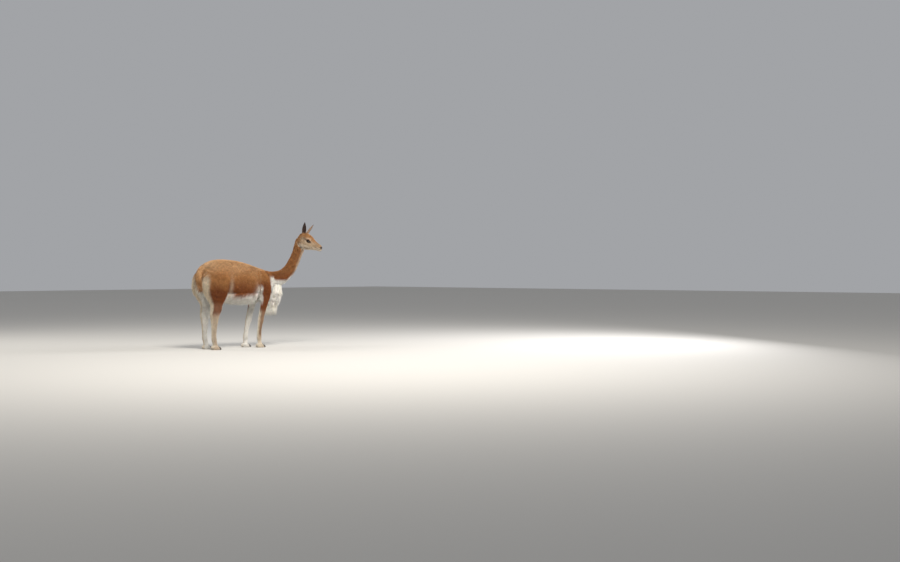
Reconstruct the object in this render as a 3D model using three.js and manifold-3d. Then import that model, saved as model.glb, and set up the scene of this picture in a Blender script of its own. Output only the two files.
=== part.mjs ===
// A standing vicuna at life size, as a still museum model: millimetres, +X towards the head, +Y its left,
// +Z up. The animal stands on four two-toed feet, its long neck curving up and to its right, and its head
// turned further to the right. Every part is a loft through a few named cross-sections, joined and cut here.
import * as THREE from "three";
import Module from "manifold-3d";

const wasm = await Module();
wasm.setup();

// Driving dimensions
const RUMP_TOP = 792; // highest point of the trunk, over the hips, under its fleece
const BELLY_LOW = 418; // lowest point of the trunk, under its fleece
const HAUNCH_REAR = -372; // hindmost point of the buttocks
const HIND_FOOT_Y = 74; // half the spacing of the hind legs
const FORE_FOOT_Y = 66; // half the spacing of the forefeet
const HEAD_LENGTH = 232; // occiput to the front of the lips
const HEAD_AT = [680, -127, 990]; // where the head's axis leaves the neck
const HEAD_TURN = -62; // degrees, to the animal's right
const HEAD_DROP = 21; // degrees, nose down
const EYE_RADIUS = 18;
const EYE_AT = [97, 37, 14]; // in the head's own frame
const EAR_LENGTH = 116;
const TAIL_LENGTH = 270;
const BIB_TIP = 264; // height of the chest bib's lowest tips
const FORE_SWING = [-98, -34]; // how far the left and right forefoot stand ahead of the plain stance
const HIND_SWING = [8, 0]; // and the hind feet
const FLEECE = 9; // how far the clumps of fleece stand out
const GAP = 0.3; // air between touching nodes
const CREASE = 22; // half the cleft between the thighs
const HOCK_CUT = 286; // height of the cut across each hock
const KNEE_CUT = 226; // height of the cut across each foreleg's knee
const CHEST_CUT = 338; // where the chest is parted from the trunk
const BOX_CENTRE = [191.2, -79.9]; // middle of the finished animal's plan, which the group is shifted by

const rad = THREE.MathUtils.degToRad;
const vec = (a) => new THREE.Vector3(a[0], a[1], a[2]);

// Cubic interpolation through rows of equal length, by distance between their first three numbers
function curveThrough(rows) {
  const at = [0];
  for (let i = 1; i < rows.length; i++)
    at.push(at[i - 1] + vec(rows[i]).distanceTo(vec(rows[i - 1])));
  const last = rows.length - 1;
  const slope = (i, k) => {
    const a = Math.max(0, i - 1);
    const b = Math.min(last, i + 1);
    return (rows[b][k] - rows[a][k]) / (at[b] - at[a]);
  };
  return (t) => {
    const s = Math.min(1, Math.max(0, t)) * at[last];
    let i = 0;
    while (i < last - 1 && s > at[i + 1]) i++;
    const span = at[i + 1] - at[i];
    const u = (s - at[i]) / span;
    return rows[i].map((value, k) => {
      const next = rows[i + 1][k];
      const m0 = slope(i, k) * span;
      const m1 = slope(i + 1, k) * span;
      return (
        value * (2 * u ** 3 - 3 * u ** 2 + 1) +
        m0 * (u ** 3 - 2 * u ** 2 + u) +
        next * (3 * u ** 2 - 2 * u ** 3) +
        m1 * (u ** 3 - u ** 2)
      );
    });
  };
}

// A form whose sections are rows [x, y, z, halfWidth, up, down, turn, square]. halfWidth lies along the side
// vector, up and down along the section's own upward vector. turn is the side vector's heading in degrees.
// axis, if given, keeps every section square to it. The end rows close the form.
class Loft {
  constructor(rows, { axis = null, sides = 16, steps = 20, bumps = [] } = {}) {
    this.curve = curveThrough(rows);
    this.axis = axis ? vec(axis) : null;
    this.sides = sides;
    this.steps = steps;
    this.bumps = bumps;
  }

  frame(t) {
    const row = this.curve(t);
    const centre = vec(row);
    const step = 0.004;
    const tangent = this.axis
      ? this.axis.clone()
      : vec(this.curve(t + step)).sub(vec(this.curve(t - step))).normalize();
    const heading = rad(row[6] ?? 0);
    const side = new THREE.Vector3(-Math.sin(heading), Math.cos(heading), 0);
    side.addScaledVector(tangent, -side.dot(tangent)).normalize();
    const up = tangent.clone().cross(side);
    return { row, centre, tangent, side, up };
  }

  // The surface point at t along and angle round, moved out by grow. Angle 0 is the side, 90 degrees is up.
  point(t, angle, grow = 0, frame = this.frame(t)) {
    const { row, centre, side, up } = frame;
    const c = Math.cos(angle);
    const s = Math.sin(angle);
    const power = 2 / (row[7] ?? 2);
    const across = Math.sign(c) * Math.abs(c) ** power * Math.max(0.2, row[3] + grow);
    const along = Math.sign(s) * Math.abs(s) ** power * Math.max(0.2, (s > 0 ? row[4] : row[5]) + grow);
    const p = centre.clone().addScaledVector(side, across).addScaledVector(up, along);
    for (const { at, reach, push } of this.bumps) {
      const share = Math.exp(
        -(((p.x - at[0]) / reach[0]) ** 2) -
          ((p.y - at[1]) / reach[1]) ** 2 -
          ((p.z - at[2]) / reach[2]) ** 2,
      );
      p.x += push[0] * share;
      p.y += push[1] * share;
      p.z += push[2] * share;
    }
    return p;
  }

  // A place on the surface with its outward normal and the way along the form, all square to each other
  placeOn(t, angle) {
    const root = this.point(t, angle);
    const ahead = this.point(Math.min(1, t + 0.02), angle).sub(this.point(Math.max(0, t - 0.02), angle));
    const round = this.point(t, angle + 0.05).sub(this.point(t, angle - 0.05));
    const out = round.cross(ahead).normalize();
    if (out.dot(root.clone().sub(this.frame(t).centre)) < 0) out.negate();
    const way = ahead.addScaledVector(out, -ahead.dot(out)).normalize();
    return { root, out, way };
  }

  geometry(grow = 0) {
    const { sides, steps } = this;
    const places = [];
    const faces = [];
    const first = this.frame(0);
    const last = this.frame(1);
    for (let i = 0; i <= steps; i++) {
      const frame = this.frame(i / steps);
      for (let j = 0; j < sides; j++) {
        const p = this.point(i / steps, (j / sides) * 2 * Math.PI, grow, frame);
        places.push(p.x, p.y, p.z);
      }
    }
    const start = first.centre.addScaledVector(first.tangent, -grow);
    const end = last.centre.addScaledVector(last.tangent, grow);
    places.push(start.x, start.y, start.z, end.x, end.y, end.z);
    const startPole = (steps + 1) * sides;
    for (let j = 0; j < sides; j++) {
      const k = (j + 1) % sides;
      faces.push(startPole, k, j);
      for (let i = 0; i < steps; i++) {
        const [a, b] = [i * sides + j, i * sides + k];
        faces.push(a, b, b + sides, a, b + sides, a + sides);
      }
      faces.push(startPole + 1, steps * sides + j, steps * sides + k);
    }
    return new THREE.BufferGeometry()
      .setAttribute("position", new THREE.Float32BufferAttribute(places, 3))
      .setIndex(faces);
  }

  solid(grow = 0) {
    return solidOf(this.geometry(grow));
  }
}

// Coat: seeded, so that every lock and clump comes out the same each time
let seed = 20517;
function random(low, high) {
  seed = (seed * 1664525 + 1013904223) % 4294967296;
  return low + (seed / 4294967296) * (high - low);
}

// A flat lock, lens-shaped across: it leaves its root inside the body, lies along its way and tapers to
// its tip.
// Rows of [along, width, thickness, lift], as shares of the lock's own
const LOCK = [
  [0, 0.6, 0.9, -1.6],
  [0.3, 1, 1, 0.25],
  [0.7, 0.78, 0.85, 0.5],
  [1, 0.1, 0.18, 0],
];
function lock({ root, out, way, length, width, thick, sweep = 0, hang = 0 }) {
  const side = way.clone().cross(out).normalize();
  const places = [];
  const faces = [];
  LOCK.forEach(([t, wide, high, lift], i) => {
    const centre = root.clone().addScaledVector(way, t * length);
    centre.addScaledVector(side, sweep * t * t).addScaledVector(out, lift * thick);
    centre.z -= hang * t * t;
    const half = (wide * width) / 2;
    for (const [across, up] of [[1, 0], [0, 0.62 * high * thick], [-1, 0], [0, -0.38 * high * thick]]) {
      const p = centre.clone().addScaledVector(side, across * half).addScaledVector(out, up);
      places.push(p.x, p.y, p.z);
    }
    const at = i * 4;
    if (i > 0)
      for (let j = 0; j < 4; j++) {
        const k = (j + 1) % 4;
        faces.push(at - 4 + j, at + k, at - 4 + k, at - 4 + j, at + j, at + k);
      }
  });
  const end = (LOCK.length - 1) * 4;
  faces.push(0, 1, 2, 0, 2, 3, end, end + 2, end + 1, end, end + 3, end + 2);
  return solidFrom(places, faces);
}

// A rounded clump of fleece: a low dome whose rim is sunk in the surface, a little longer along the lie of
// the wool.
// Rows of [reach, height], as shares of the clump's own
const DOME = [
  [1.12, -0.8],
  [0.62, 0.66],
];
const DOME_SIDES = 6;
// bend is the surface's radius across it.
function clump({ root, out, way }, size, rise, bend, grow = 0) {
  const side = way.clone().cross(out).normalize();
  const places = [];
  const faces = [];
  const turn = random(0, 1);
  const put = (along, across, height) => {
    const up = height - across ** 2 / (2 * bend) - along ** 2 / (8 * bend);
    const p = root.clone().addScaledVector(way, along).addScaledVector(side, across).addScaledVector(out, up);
    places.push(p.x, p.y, p.z);
  };
  DOME.forEach(([reach, height], i) => {
    for (let j = 0; j < DOME_SIDES; j++) {
      const angle = ((j + turn) / DOME_SIDES) * 2 * Math.PI;
      const [long, wide] = [size * 0.56 * reach + grow, size * 0.5 * reach + grow];
      put(long * Math.cos(angle), wide * Math.sin(angle), rise * height + 1.5 * grow);
      const [a, b] = [i * DOME_SIDES + j, i * DOME_SIDES + ((j + 1) % DOME_SIDES)];
      if (i > 0) faces.push(a - DOME_SIDES, b - DOME_SIDES, b, a - DOME_SIDES, b, a);
      else faces.push(DOME.length * DOME_SIDES + 1, b, a);
      if (i === DOME.length - 1) faces.push(DOME.length * DOME_SIDES, a, b);
    }
  });
  put(0.1 * size, 0, rise + 1.5 * grow);
  put(0, 0, -1.3 * rise - grow);
  return solidFrom(places, faces);
}

// Solids and meshes
function solidOf(geometry, matrix = null) {
  const g = matrix ? geometry.clone().applyMatrix4(matrix) : geometry;
  const merged = new Map();
  const places = [];
  const p = g.getAttribute("position");
  const remap = [];
  for (let i = 0; i < p.count; i++) {
    const key = [p.getX(i), p.getY(i), p.getZ(i)].map((v) => Math.round(v * 1e3)).join();
    if (!merged.has(key)) {
      merged.set(key, places.length / 3);
      places.push(p.getX(i), p.getY(i), p.getZ(i));
    }
    remap.push(merged.get(key));
  }
  const index = g.index ? Array.from(g.index.array) : p.array.map((_, i) => i).slice(0, p.count);
  return solidFrom(places, index.map((i) => remap[i]));
}

// A solid from its vertices' coordinates and its triangles, turned right way out
function solidFrom(places, index) {
  const triVerts = [];
  for (let i = 0; i < index.length; i += 3) {
    const [a, b, c] = [index[i], index[i + 1], index[i + 2]];
    if (a !== b && b !== c && a !== c) triVerts.push(a, b, c);
  }
  const made = (order) =>
    new wasm.Manifold(
      new wasm.Mesh({
        numProp: 3,
        vertProperties: new Float32Array(places),
        triVerts: new Uint32Array(order),
      }),
    );
  const solid = made(triVerts);
  return solid.volume() < 0 ? made(triVerts.reverse()) : solid;
}

const join = (solids) => solids.reduce((a, b) => a.add(b));

// Keeps the side of a plane that its normal points to, the plane moved that way by move
function keep(solid, point, normal, move = GAP / 2) {
  const n = vec(normal).normalize();
  return solid.trimByPlane([n.x, n.y, n.z], n.dot(vec(point)) + move);
}

// The largest closed surface alone
function largest(solid) {
  const parts = solid.decompose();
  return parts.reduce((a, b) => (b.volume() > a.volume() ? b : a));
}

function meshOf(name, solid, material) {
  const made = largest(solid).getMesh();
  const places = new Float32Array(made.numVert * 3);
  for (let i = 0; i < made.numVert; i++)
    places.set(made.vertProperties.subarray(i * made.numProp, i * made.numProp + 3), i * 3);
  const geometry = new THREE.BufferGeometry()
    .setAttribute("position", new THREE.BufferAttribute(places, 3))
    .setIndex(new THREE.BufferAttribute(new Uint32Array(made.triVerts), 1));
  geometry.computeVertexNormals();
  const mesh = new THREE.Mesh(geometry, material);
  mesh.name = name;
  return mesh;
}

const coat = (color) => new THREE.MeshStandardMaterial({ color, roughness: 0.95, metalness: 0 });
const FAWN = coat(0xb98654);
const RUST = coat(0x9a5f33);
const CREAM = coat(0xe6ddcf);
const FACE = coat(0xa98560);
const EAR_BROWN = coat(0x5b4638);
const EYE_DARK = new THREE.MeshStandardMaterial({ color: 0x140d0a, roughness: 0.08, metalness: 0 });
const NAIL = new THREE.MeshStandardMaterial({ color: 0x2b2521, roughness: 0.45, metalness: 0 });

// Trunk: rows of [x, top, bottom, halfWidth, square]
const TRUNK = [
  [HAUNCH_REAR + 14, 668, 612, 20, 2],
  [HAUNCH_REAR + 24, 700, 584, 60, 2.1],
  [-318, 736, 546, 98, 2.2],
  [-270, 766, 508, 120, 2.2],
  [-205, 786, 466, 130, 2.2],
  [-120, RUMP_TOP, 436, 131, 2.2],
  [-30, 788, 424, 129, 2.25],
  [65, 774, BELLY_LOW, 126, 2.3],
  [155, 753, BELLY_LOW, 121, 2.3],
  [235, 730, 424, 114, 2.25],
  [305, 710, 436, 104, 2.2],
  [365, 696, 456, 90, 2.1],
  [415, 686, 498, 70, 2],
  [448, 668, 540, 46, 2],
  [462, 640, 580, 18, 2],
];
const trunk = new Loft(
  TRUNK.map(([x, top, low, half, square]) => [
    x, 0, (top + low) / 2, half, (top - low) / 2, (top - low) / 2, 0, square,
  ]),
  { axis: [1, 0, 0], sides: 18, steps: 15 },
);

// Neck: rows of [x, y, z, halfWidth, nape, throat, turn]
const NECK = [
  [330, 0, 600, 92, 92, 108, 0],
  [420, -6, 612, 79, 79, 98, -5],
  [500, -22, 632, 66, 66, 84, -12],
  [560, -38, 662, 57, 59, 70, -18],
  [608, -56, 714, 51, 54, 62, -26],
  [641, -75, 783, 48, 51, 57, -35],
  [664, -92, 850, 46, 49, 54, -44],
  [681, -107, 916, 45, 48, 53, -51],
  [692, -121, 975, 43, 44, 48, -58],
  [696, -129, 1004, 26, 26, 28, -62],
];
const neck = new Loft(NECK, { sides: 16, steps: 16 });

// Legs: rows of [x, z, front, back, y, halfWidth], y and halfWidth for a left leg
const HIND = [
  [-196, 728, 24, 36, 56, 16],
  [-206, 704, 78, 96, 64, 42],
  [-220, 650, 112, 132, 72, 76],
  [-228, 575, 118, -HAUNCH_REAR - 228, 76, 80],
  [-228, 510, 108, 138, 77, 74],
  [-226, 450, 84, 104, 76, 60],
  [-228, 398, 58, 68, HIND_FOOT_Y, 46],
  [-240, 348, 60, 54, HIND_FOOT_Y, 40],
  [-254, 304, 52, 46, HIND_FOOT_Y, 35],
  [-257, 262, 42, 34, HIND_FOOT_Y, 29],
  [-258, 198, 30, 26, HIND_FOOT_Y - 1, 24],
  [-259, 132, 24, 23, HIND_FOOT_Y - 2, 21],
  [-257, 92, 25, 23, HIND_FOOT_Y - 2, 23],
  [-250, 58, 23, 21, HIND_FOOT_Y - 2, 22],
  [-243, 30, 24, 26, HIND_FOOT_Y - 2, 25],
  [-241, 6, 16, 18, HIND_FOOT_Y - 2, 18],
];
const FORE = [
  [262, 694, 24, 30, 70, 16],
  [266, 662, 52, 60, 77, 34],
  [276, 600, 70, 78, 84, 44],
  [288, 530, 66, 76, 87, 48],
  [297, 465, 52, 60, 84, 44],
  [297, 408, 38, 43, 80, 35],
  [289, 345, 30, 32, 76, 28],
  [279, 282, 29, 30, 71, 27],
  [275, 243, 30, 27, 68, 28],
  [272, 205, 24, 24, 67, 23],
  [270, 150, 21, 21, FORE_FOOT_Y, 20],
  [270, 90, 23, 21, FORE_FOOT_Y, 22],
  [277, 56, 20, 19, FORE_FOOT_Y, 20],
  [284, 28, 22, 24, FORE_FOOT_Y, 24],
  [286, 6, 15, 17, FORE_FOOT_Y, 17],
];

// A leg's loft: its feet are swung ahead by swing, more and more below the joint that the swing starts from
function legLoft(rows, side, swing, pivot) {
  const placed = rows.map(([x, z, front, back, y, half]) => {
    const share = Math.max(0, (pivot - z) / pivot);
    return [x + swing * share, side * y, z, half, front, back, 0, 2.1];
  });
  return new Loft(placed, { axis: [0, 0, -1], sides: 11, steps: 16 });
}

// One toe, pointing ahead and a little outwards, with its flat sole on the floor. Rows of
// [along, z, halfHeight, halfWidth]
const TOE = [
  [-34, 17, 6, 5],
  [-28, 17, 15, 11],
  [-8, 17, 20, 14.5],
  [16, 15, 18, 14],
  [34, 12, 14, 11],
  [46, 8, 9, 7],
  [50, 6, 3, 2.5],
];
const TOE_SPREAD = 14.5; // from the foot's middle to each toe's
const TOE_SPLAY = 7; // degrees
const NAIL_START = 27; // along the toe, at its top
function toeSolids(footX, footY, side) {
  const loft = new Loft(
    TOE.map(([x, z, high, half]) => [x, 0, z, half, high, high, 0, 2.3]),
    { axis: [1, 0, 0], sides: 8, steps: 6 },
  );
  const place = new THREE.Matrix4()
    .makeTranslation(footX, footY + side * TOE_SPREAD, 0)
    .multiply(new THREE.Matrix4().makeRotationZ(rad(side * TOE_SPLAY)));
  const whole = keep(solidOf(loft.geometry(), place), [0, 0, 0], [0, 0, 1], 0);
  const inner = keep(whole, [0, footY, 0], [0, side, 0], GAP / 2);
  const point = vec([NAIL_START, 0, 16]).applyMatrix4(place).toArray();
  const lean = vec([0.86, 0, 0.5]).transformDirection(place).toArray();
  const around = solidOf(loft.geometry(GAP), place);
  return {
    toe: keep(inner, point, lean.map((v) => -v)),
    nail: keep(inner, point, lean),
    clearance: keep(around, point, lean, -GAP / 2),
  };
}

// Head, in its own frame: +X to the lips, origin at the occiput. Rows of [x, top, bottom, halfWidth, square]
const L = HEAD_LENGTH;
const HEAD = [
  [-0.08 * L, 30, -28, 20, 2],
  [-0.03 * L, 50, -54, 37, 2],
  [0.07 * L, 64, -72, 46, 2],
  [0.19 * L, 71, -78, 50, 2.05],
  [0.32 * L, 69, -77, 50, 2.1],
  [0.44 * L, 60, -70, 45, 2.1],
  [0.56 * L, 45, -61, 36.5, 2.1],
  [0.68 * L, 31, -53, 29.5, 2.15],
  [0.8 * L, 22, -47, 27, 2.2],
  [0.9 * L, 16, -43, 25.5, 2.25],
  [0.965 * L, 6, -38, 19, 2.2],
  [L, -8, -27, 8, 2],
];
const both = (b) => [b, { ...b, at: [b.at[0], -b.at[1], b.at[2]], push: [b.push[0], -b.push[1], b.push[2]] }];
const HEAD_BUMPS = [
  ...both({ at: [EYE_AT[0], 44, 34], reach: [24, 18, 11], push: [0, 4, 3] }), // brow
  ...both({ at: [EYE_AT[0] + 10, 48, -14], reach: [36, 18, 10], push: [0, 4, 0] }), // cheekbone
  ...both({ at: [EYE_AT[0] + 34, 36, 12], reach: [20, 16, 13], push: [0, -5, 0] }), // hollow before the eye
  ...both({ at: [162, 30, -18], reach: [26, 14, 12], push: [0, -3, 0] }), // side of the muzzle
  ...both({ at: [216, 17, -2], reach: [12, 10, 9], push: [1, 3.5, 2] }), // nostril wing
  ...both({ at: [208, 22, -22], reach: [18, 12, 8], push: [0, 3, 0] }), // upper lip
  { at: [224, 0, -40], reach: [14, 14, 8], push: [0, 0, -3] }, // chin
  { at: [136, 0, 40], reach: [26, 14, 14], push: [0, 0, -3] }, // dip of the nose bridge
];
const headPlace = new THREE.Matrix4()
  .makeTranslation(...HEAD_AT)
  .multiply(new THREE.Matrix4().makeRotationZ(rad(HEAD_TURN)))
  .multiply(new THREE.Matrix4().makeRotationY(rad(HEAD_DROP)));
const headLoft = new Loft(
  HEAD.map(([x, top, low, half, square]) => [
    x, 0, (top + low) / 2, half, (top - low) / 2, (top - low) / 2, 0, square,
  ]),
  { axis: [1, 0, 0], sides: 18, steps: 21, bumps: HEAD_BUMPS },
);

// A ball stretched along its own axes and turned about Z, then Y, in the head's frame
function ball([x, y, z], [rx, ry, rz], turn = 0, tip = 0, detail = 11) {
  const place = new THREE.Matrix4()
    .makeTranslation(x, y, z)
    .multiply(new THREE.Matrix4().makeRotationZ(rad(turn)))
    .multiply(new THREE.Matrix4().makeRotationY(rad(tip)))
    .multiply(new THREE.Matrix4().makeScale(rx, ry, rz));
  return solidOf(new THREE.SphereGeometry(1, detail, Math.round(detail * 0.75)), place);
}

// The opening between the lids: an almond, pushed outwards from the eye's middle
const EYE_SLIT = [17, 10.5]; // half its length and half its height
const LID = 3.2; // thickness of the lids
function eyeOpening(side) {
  const [long, high] = EYE_SLIT;
  const almond = new THREE.Shape();
  almond.moveTo(-long, -1);
  almond.bezierCurveTo(-long * 0.5, high * 1.25, long * 0.45, high * 1.3, long, -2);
  almond.bezierCurveTo(long * 0.4, -high * 1.15, -long * 0.5, -high * 1.1, -long, -1);
  const geometry = new THREE.ExtrudeGeometry(almond, { depth: 40, bevelEnabled: false, curveSegments: 4 });
  geometry.deleteAttribute("normal");
  geometry.deleteAttribute("uv");
  const place = new THREE.Matrix4()
    .makeTranslation(EYE_AT[0], side * EYE_AT[1], EYE_AT[2])
    .multiply(new THREE.Matrix4().makeRotationZ(rad(side * -14)))
    .multiply(new THREE.Matrix4().makeRotationX(rad(side * -88)))
    .multiply(new THREE.Matrix4().makeScale(1, side, 1));
  return solidOf(geometry, place);
}

// The line of the mouth: a thin groove round the muzzle, its corners a little below its front
const MOUTH = [
  [0.72 * L, -30, -27],
  [0.8 * L, -30, -24],
  [0.9 * L, -27, -22],
  [0.96 * L, -17, -21],
  [0.985 * L, 0, -21],
  [0.96 * L, 17, -21],
  [0.9 * L, 27, -22],
  [0.8 * L, 30, -24],
  [0.72 * L, 30, -27],
];
function mouthGroove() {
  const last = MOUTH.length - 1;
  const rows = MOUTH.map((place, i) => {
    const half = i % last === 0 ? 0.8 : 3.6;
    return [...place, half, 1.1, 1.1, 10 + (160 * i) / last];
  });
  return new Loft(rows, { sides: 6, steps: 14 }).solid();
}

function headSolid() {
  const features = [
    mouthGroove(),
    ball([0.985 * L, 0, -12], [9, 1.1, 8], 0, 10, 8), // cleft of the upper lip
  ];
  let made = headLoft.solid();
  for (const side of [-1, 1]) {
    const eye = [EYE_AT[0], side * EYE_AT[1], EYE_AT[2]];
    const lids = EYE_RADIUS + LID;
    made = made.add(ball(eye, [lids, lids, lids], 0, 0, 12));
    features.push(eyeOpening(side));
    features.push(ball(eye, Array(3).fill(EYE_RADIUS + GAP)));
    features.push(ball([0.945 * L, side * 14, -3], [7.5, 2.2, 3.4], side * 62, -25, 8)); // nostril
  }
  return made.subtract(join(features)).transform(headPlace.toArray());
}

// Ears: a pointed leaf, hollowed from the front by a smaller one. Rows of [along, halfWidth, halfThickness]
const EAR = [
  [-0.1, 9, 9],
  [0, 13, 11],
  [0.2, 18, 12],
  [0.42, 20, 11],
  [0.65, 16.5, 8.5],
  [0.84, 9.5, 5.5],
  [0.96, 3.5, 2.6],
  [1, 1, 0.9],
];
const EAR_ROOT = [30, 30, 50]; // in the head's frame, left side
const EAR_OUT = [22, 10]; // degrees each ear leans outwards: left, right
const EAR_FORWARD = [8, -12]; // degrees each ear leans ahead from the head's own up
const EAR_FACING = [-30, -78]; // degrees the cup turns outwards from straight ahead
function earPlace(side) {
  const i = side > 0 ? 0 : 1;
  return headPlace
    .clone()
    .multiply(new THREE.Matrix4().makeTranslation(EAR_ROOT[0], side * EAR_ROOT[1], EAR_ROOT[2]))
    .multiply(new THREE.Matrix4().makeRotationX(rad(-side * EAR_OUT[i])))
    .multiply(new THREE.Matrix4().makeRotationY(rad(EAR_FORWARD[i])))
    .multiply(new THREE.Matrix4().makeRotationZ(rad(-side * EAR_FACING[i])));
}
function earSolid(side) {
  const rows = EAR.map(([along, half, thick]) => [0, 0, along * EAR_LENGTH, half, thick, thick * 1.1]);
  const leaf = new Loft(rows, { axis: [0, 0, 1], sides: 8, steps: 9 });
  const inner = EAR.map(([along, half, thick]) => {
    const thin = Math.max(0.5, thick - 1.5);
    return [-7, 0, 8 + along * EAR_LENGTH * 0.9, Math.max(0.6, half - 3), thin, thin];
  });
  const hollow = new Loft(inner, { axis: [0, 0, 1], sides: 8, steps: 7 });
  // In this frame the section's up vector is -X, so the cup opens to +X once it is turned round
  const turnRound = new THREE.Matrix4().makeRotationZ(Math.PI);
  const cup = solidOf(leaf.geometry(), turnRound).subtract(solidOf(hollow.geometry(), turnRound));
  const grown = solidOf(headLoft.geometry(GAP), headPlace);
  return cup.transform(earPlace(side).toArray()).subtract(grown);
}

// Tail: a short core, rows of [x, y, z, halfWidth, back, front], with locks that hang well past its end
const TAIL = [
  [-296, 0, 726, 18, 12, 12],
  [-328, -3, 722, 24, 15, 15],
  [-356, -8, 694, 26, 15, 15],
  [-368, -14, 646, 26, 14, 13],
  [-370, -20, 602, 19, 10, 10],
  [-370, -23, 575, 5, 4, 4],
];
const tailLoft = new Loft(TAIL.map((row) => [...row, 180]), { sides: 10, steps: 8 });
const TAIL_TIP = 728 - TAIL_LENGTH;
const TAIL_ROWS = [[0.38, 3, 104], [0.62, 4, 110], [0.86, 4, 118]]; // [along, locks, length]
function tailSolid() {
  const locks = [];
  TAIL_ROWS.forEach(([t, count, length], row) => {
    for (let i = 0; i < count; i++) {
      const angle = ((i + (row % 2) / 2 + random(-0.15, 0.15)) / count) * 2 * Math.PI;
      const { root, out, way } = tailLoft.placeOn(t, angle);
      locks.push(lock({
        root, out, way,
        length: length * random(0.88, 1.06),
        width: random(34, 40),
        thick: random(9, 11),
        sweep: random(-9, 9) - 6,
        hang: random(2, 8),
      }));
    }
  });
  return keep(join([tailLoft.solid(), ...locks]), [0, 0, TAIL_TIP], [0, 0, 1], 0);
}

// Chest bib: a short core, rows of [x, z, front, back, halfWidth], under long locks that hang to BIB_TIP
const BIB = [
  [430, 634, 68, 40, 40],
  [434, 592, 96, 62, 58],
  [437, 540, 100, 68, 60],
  [434, 480, 76, 58, 48],
  [428, 438, 46, 40, 32],
  [424, 410, 12, 12, 10],
];
const bibCore = new Loft(
  BIB.map(([x, z, front, back, half]) => [x, 0, z, half, front, back, 0, 2.1]),
  { axis: [0, 0, -1], sides: 14, steps: 9 },
);
// [along the core, locks, from angle, to angle, length]; 90 degrees is straight ahead
const BIB_ROWS = [
  [0.2, 6, -10, 190, 125],
  [0.4, 7, -45, 225, 134],
  [0.6, 7, -70, 245, 138],
  [0.8, 6, -90, 240, 144],
  [0.97, 4, -70, 210, 158],
];
function bibSolid() {
  const locks = [];
  BIB_ROWS.forEach(([t, count, from, to, length], row) => {
    for (let i = 0; i < count; i++) {
      const share = (i + (row % 2 ? 0.7 : 0.3) + random(-0.12, 0.12)) / count;
      const { root, out } = bibCore.placeOn(t, rad(from + (to - from) * share));
      const flat = new THREE.Vector3(out.x, out.y, 0).normalize();
      const way = new THREE.Vector3(-0.27, 0, -1).addScaledVector(flat, 0.03).normalize();
      const facing = flat.addScaledVector(way, -flat.dot(way)).normalize();
      const whole = length * random(0.92, 1.06);
      locks.push(lock({
        root, way,
        out: facing,
        length: Math.min(whole, (root.z - BIB_TIP) * 1.02),
        width: random(42, 50),
        thick: random(10, 13),
        sweep: random(-12, 12),
        hang: 0,
      }));
    }
  });
  return join([bibCore.solid(), ...locks]);
}

// Belly: rows of short locks under the trunk, hanging down and back. [from x, to x, locks, angle, length]
const BELLY_ROWS = [
  [-110, 240, 4, -36, 92],
  [-125, 225, 4, -70, 88],
  [-125, 225, 4, -110, 88],
  [-110, 240, 4, -144, 92],
];
function bellyLocks() {
  const locks = [];
  for (const [from, to, count, angle, length] of BELLY_ROWS)
    for (let i = 0; i < count; i++) {
      const x = from + ((to - from) * (i + random(0.3, 0.7))) / count;
      const { root, out } = trunk.placeOn(trunkShare(x), rad(angle + random(-5, 5)));
      const way = new THREE.Vector3(-0.8, 0, -0.45);
      way.addScaledVector(out, 0.1 - way.dot(out)).normalize();
      const facing = out.clone().addScaledVector(way, -out.dot(way)).normalize();
      locks.push(lock({
        root, way,
        out: facing,
        length: length * random(0.9, 1.1),
        width: random(58, 68),
        thick: random(10, 12),
        sweep: random(-8, 8),
        hang: 2,
      }));
    }
  return locks;
}

// How far along the trunk's loft a place x lies
function trunkShare(x) {
  let [low, high] = [0, 1];
  for (let i = 0; i < 24; i++) {
    const middle = (low + high) / 2;
    if (trunk.curve(middle)[0] < x) low = middle;
    else high = middle;
  }
  return (low + high) / 2;
}

// Fleece of the trunk: rounded clumps in rings, each ring half a step on from the last
const FLEECE_FROM = -335;
const FLEECE_TO = 290;
const FLEECE_STEP = 128; // between rings, and between the clumps of a ring
function trunkClumps() {
  const clumps = [];
  let row = 0;
  for (let x = FLEECE_FROM; x <= FLEECE_TO; x += FLEECE_STEP, row++) {
    const t = trunkShare(x);
    const [, , , half, up] = trunk.curve(t);
    const round = Math.PI * (half + up) * (230 / 360);
    const count = Math.max(4, Math.round((2 * round) / FLEECE_STEP));
    for (let i = 0; i < count; i++) {
      const share = (i + 0.5 + (row % 2 ? 0.25 : -0.25) + random(-0.12, 0.12)) / count;
      const angle = rad(-25 + 230 * share);
      const spot = trunk.placeOn(t + random(-0.008, 0.008), angle);
      if (spot.root.x < -285 && Math.abs(spot.root.y) < 92 && spot.root.z < 785) continue; // the tail's root
      spot.way.negate();
      clumps.push(clump(spot, FLEECE_STEP * random(0.94, 1.04), FLEECE * random(0.85, 1.15), half));
    }
  }
  return clumps;
}

// Fleece of a thigh, on its outer side. Rows of [along the leg, from angle, to angle, clumps]
const THIGH_ROWS = [[0.19, -48, 50, 2], [0.3, -52, 46, 3], [0.42, -42, 40, 2], [0.53, -16, 20, 1]];
function thighClumps(loft, side) {
  const clumps = [];
  for (const [t, from, to, count] of THIGH_ROWS)
    for (let i = 0; i < count; i++) {
      const turn = from + ((to - from) * (i + 0.5 + random(-0.1, 0.1))) / count;
      const spot = loft.placeOn(t + random(-0.01, 0.01), side > 0 ? rad(turn) : Math.PI - rad(turn));
      clumps.push([spot, 80 * random(0.92, 1.04), 8 * random(0.85, 1.15), 62]);
    }
  return clumps;
}

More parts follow.
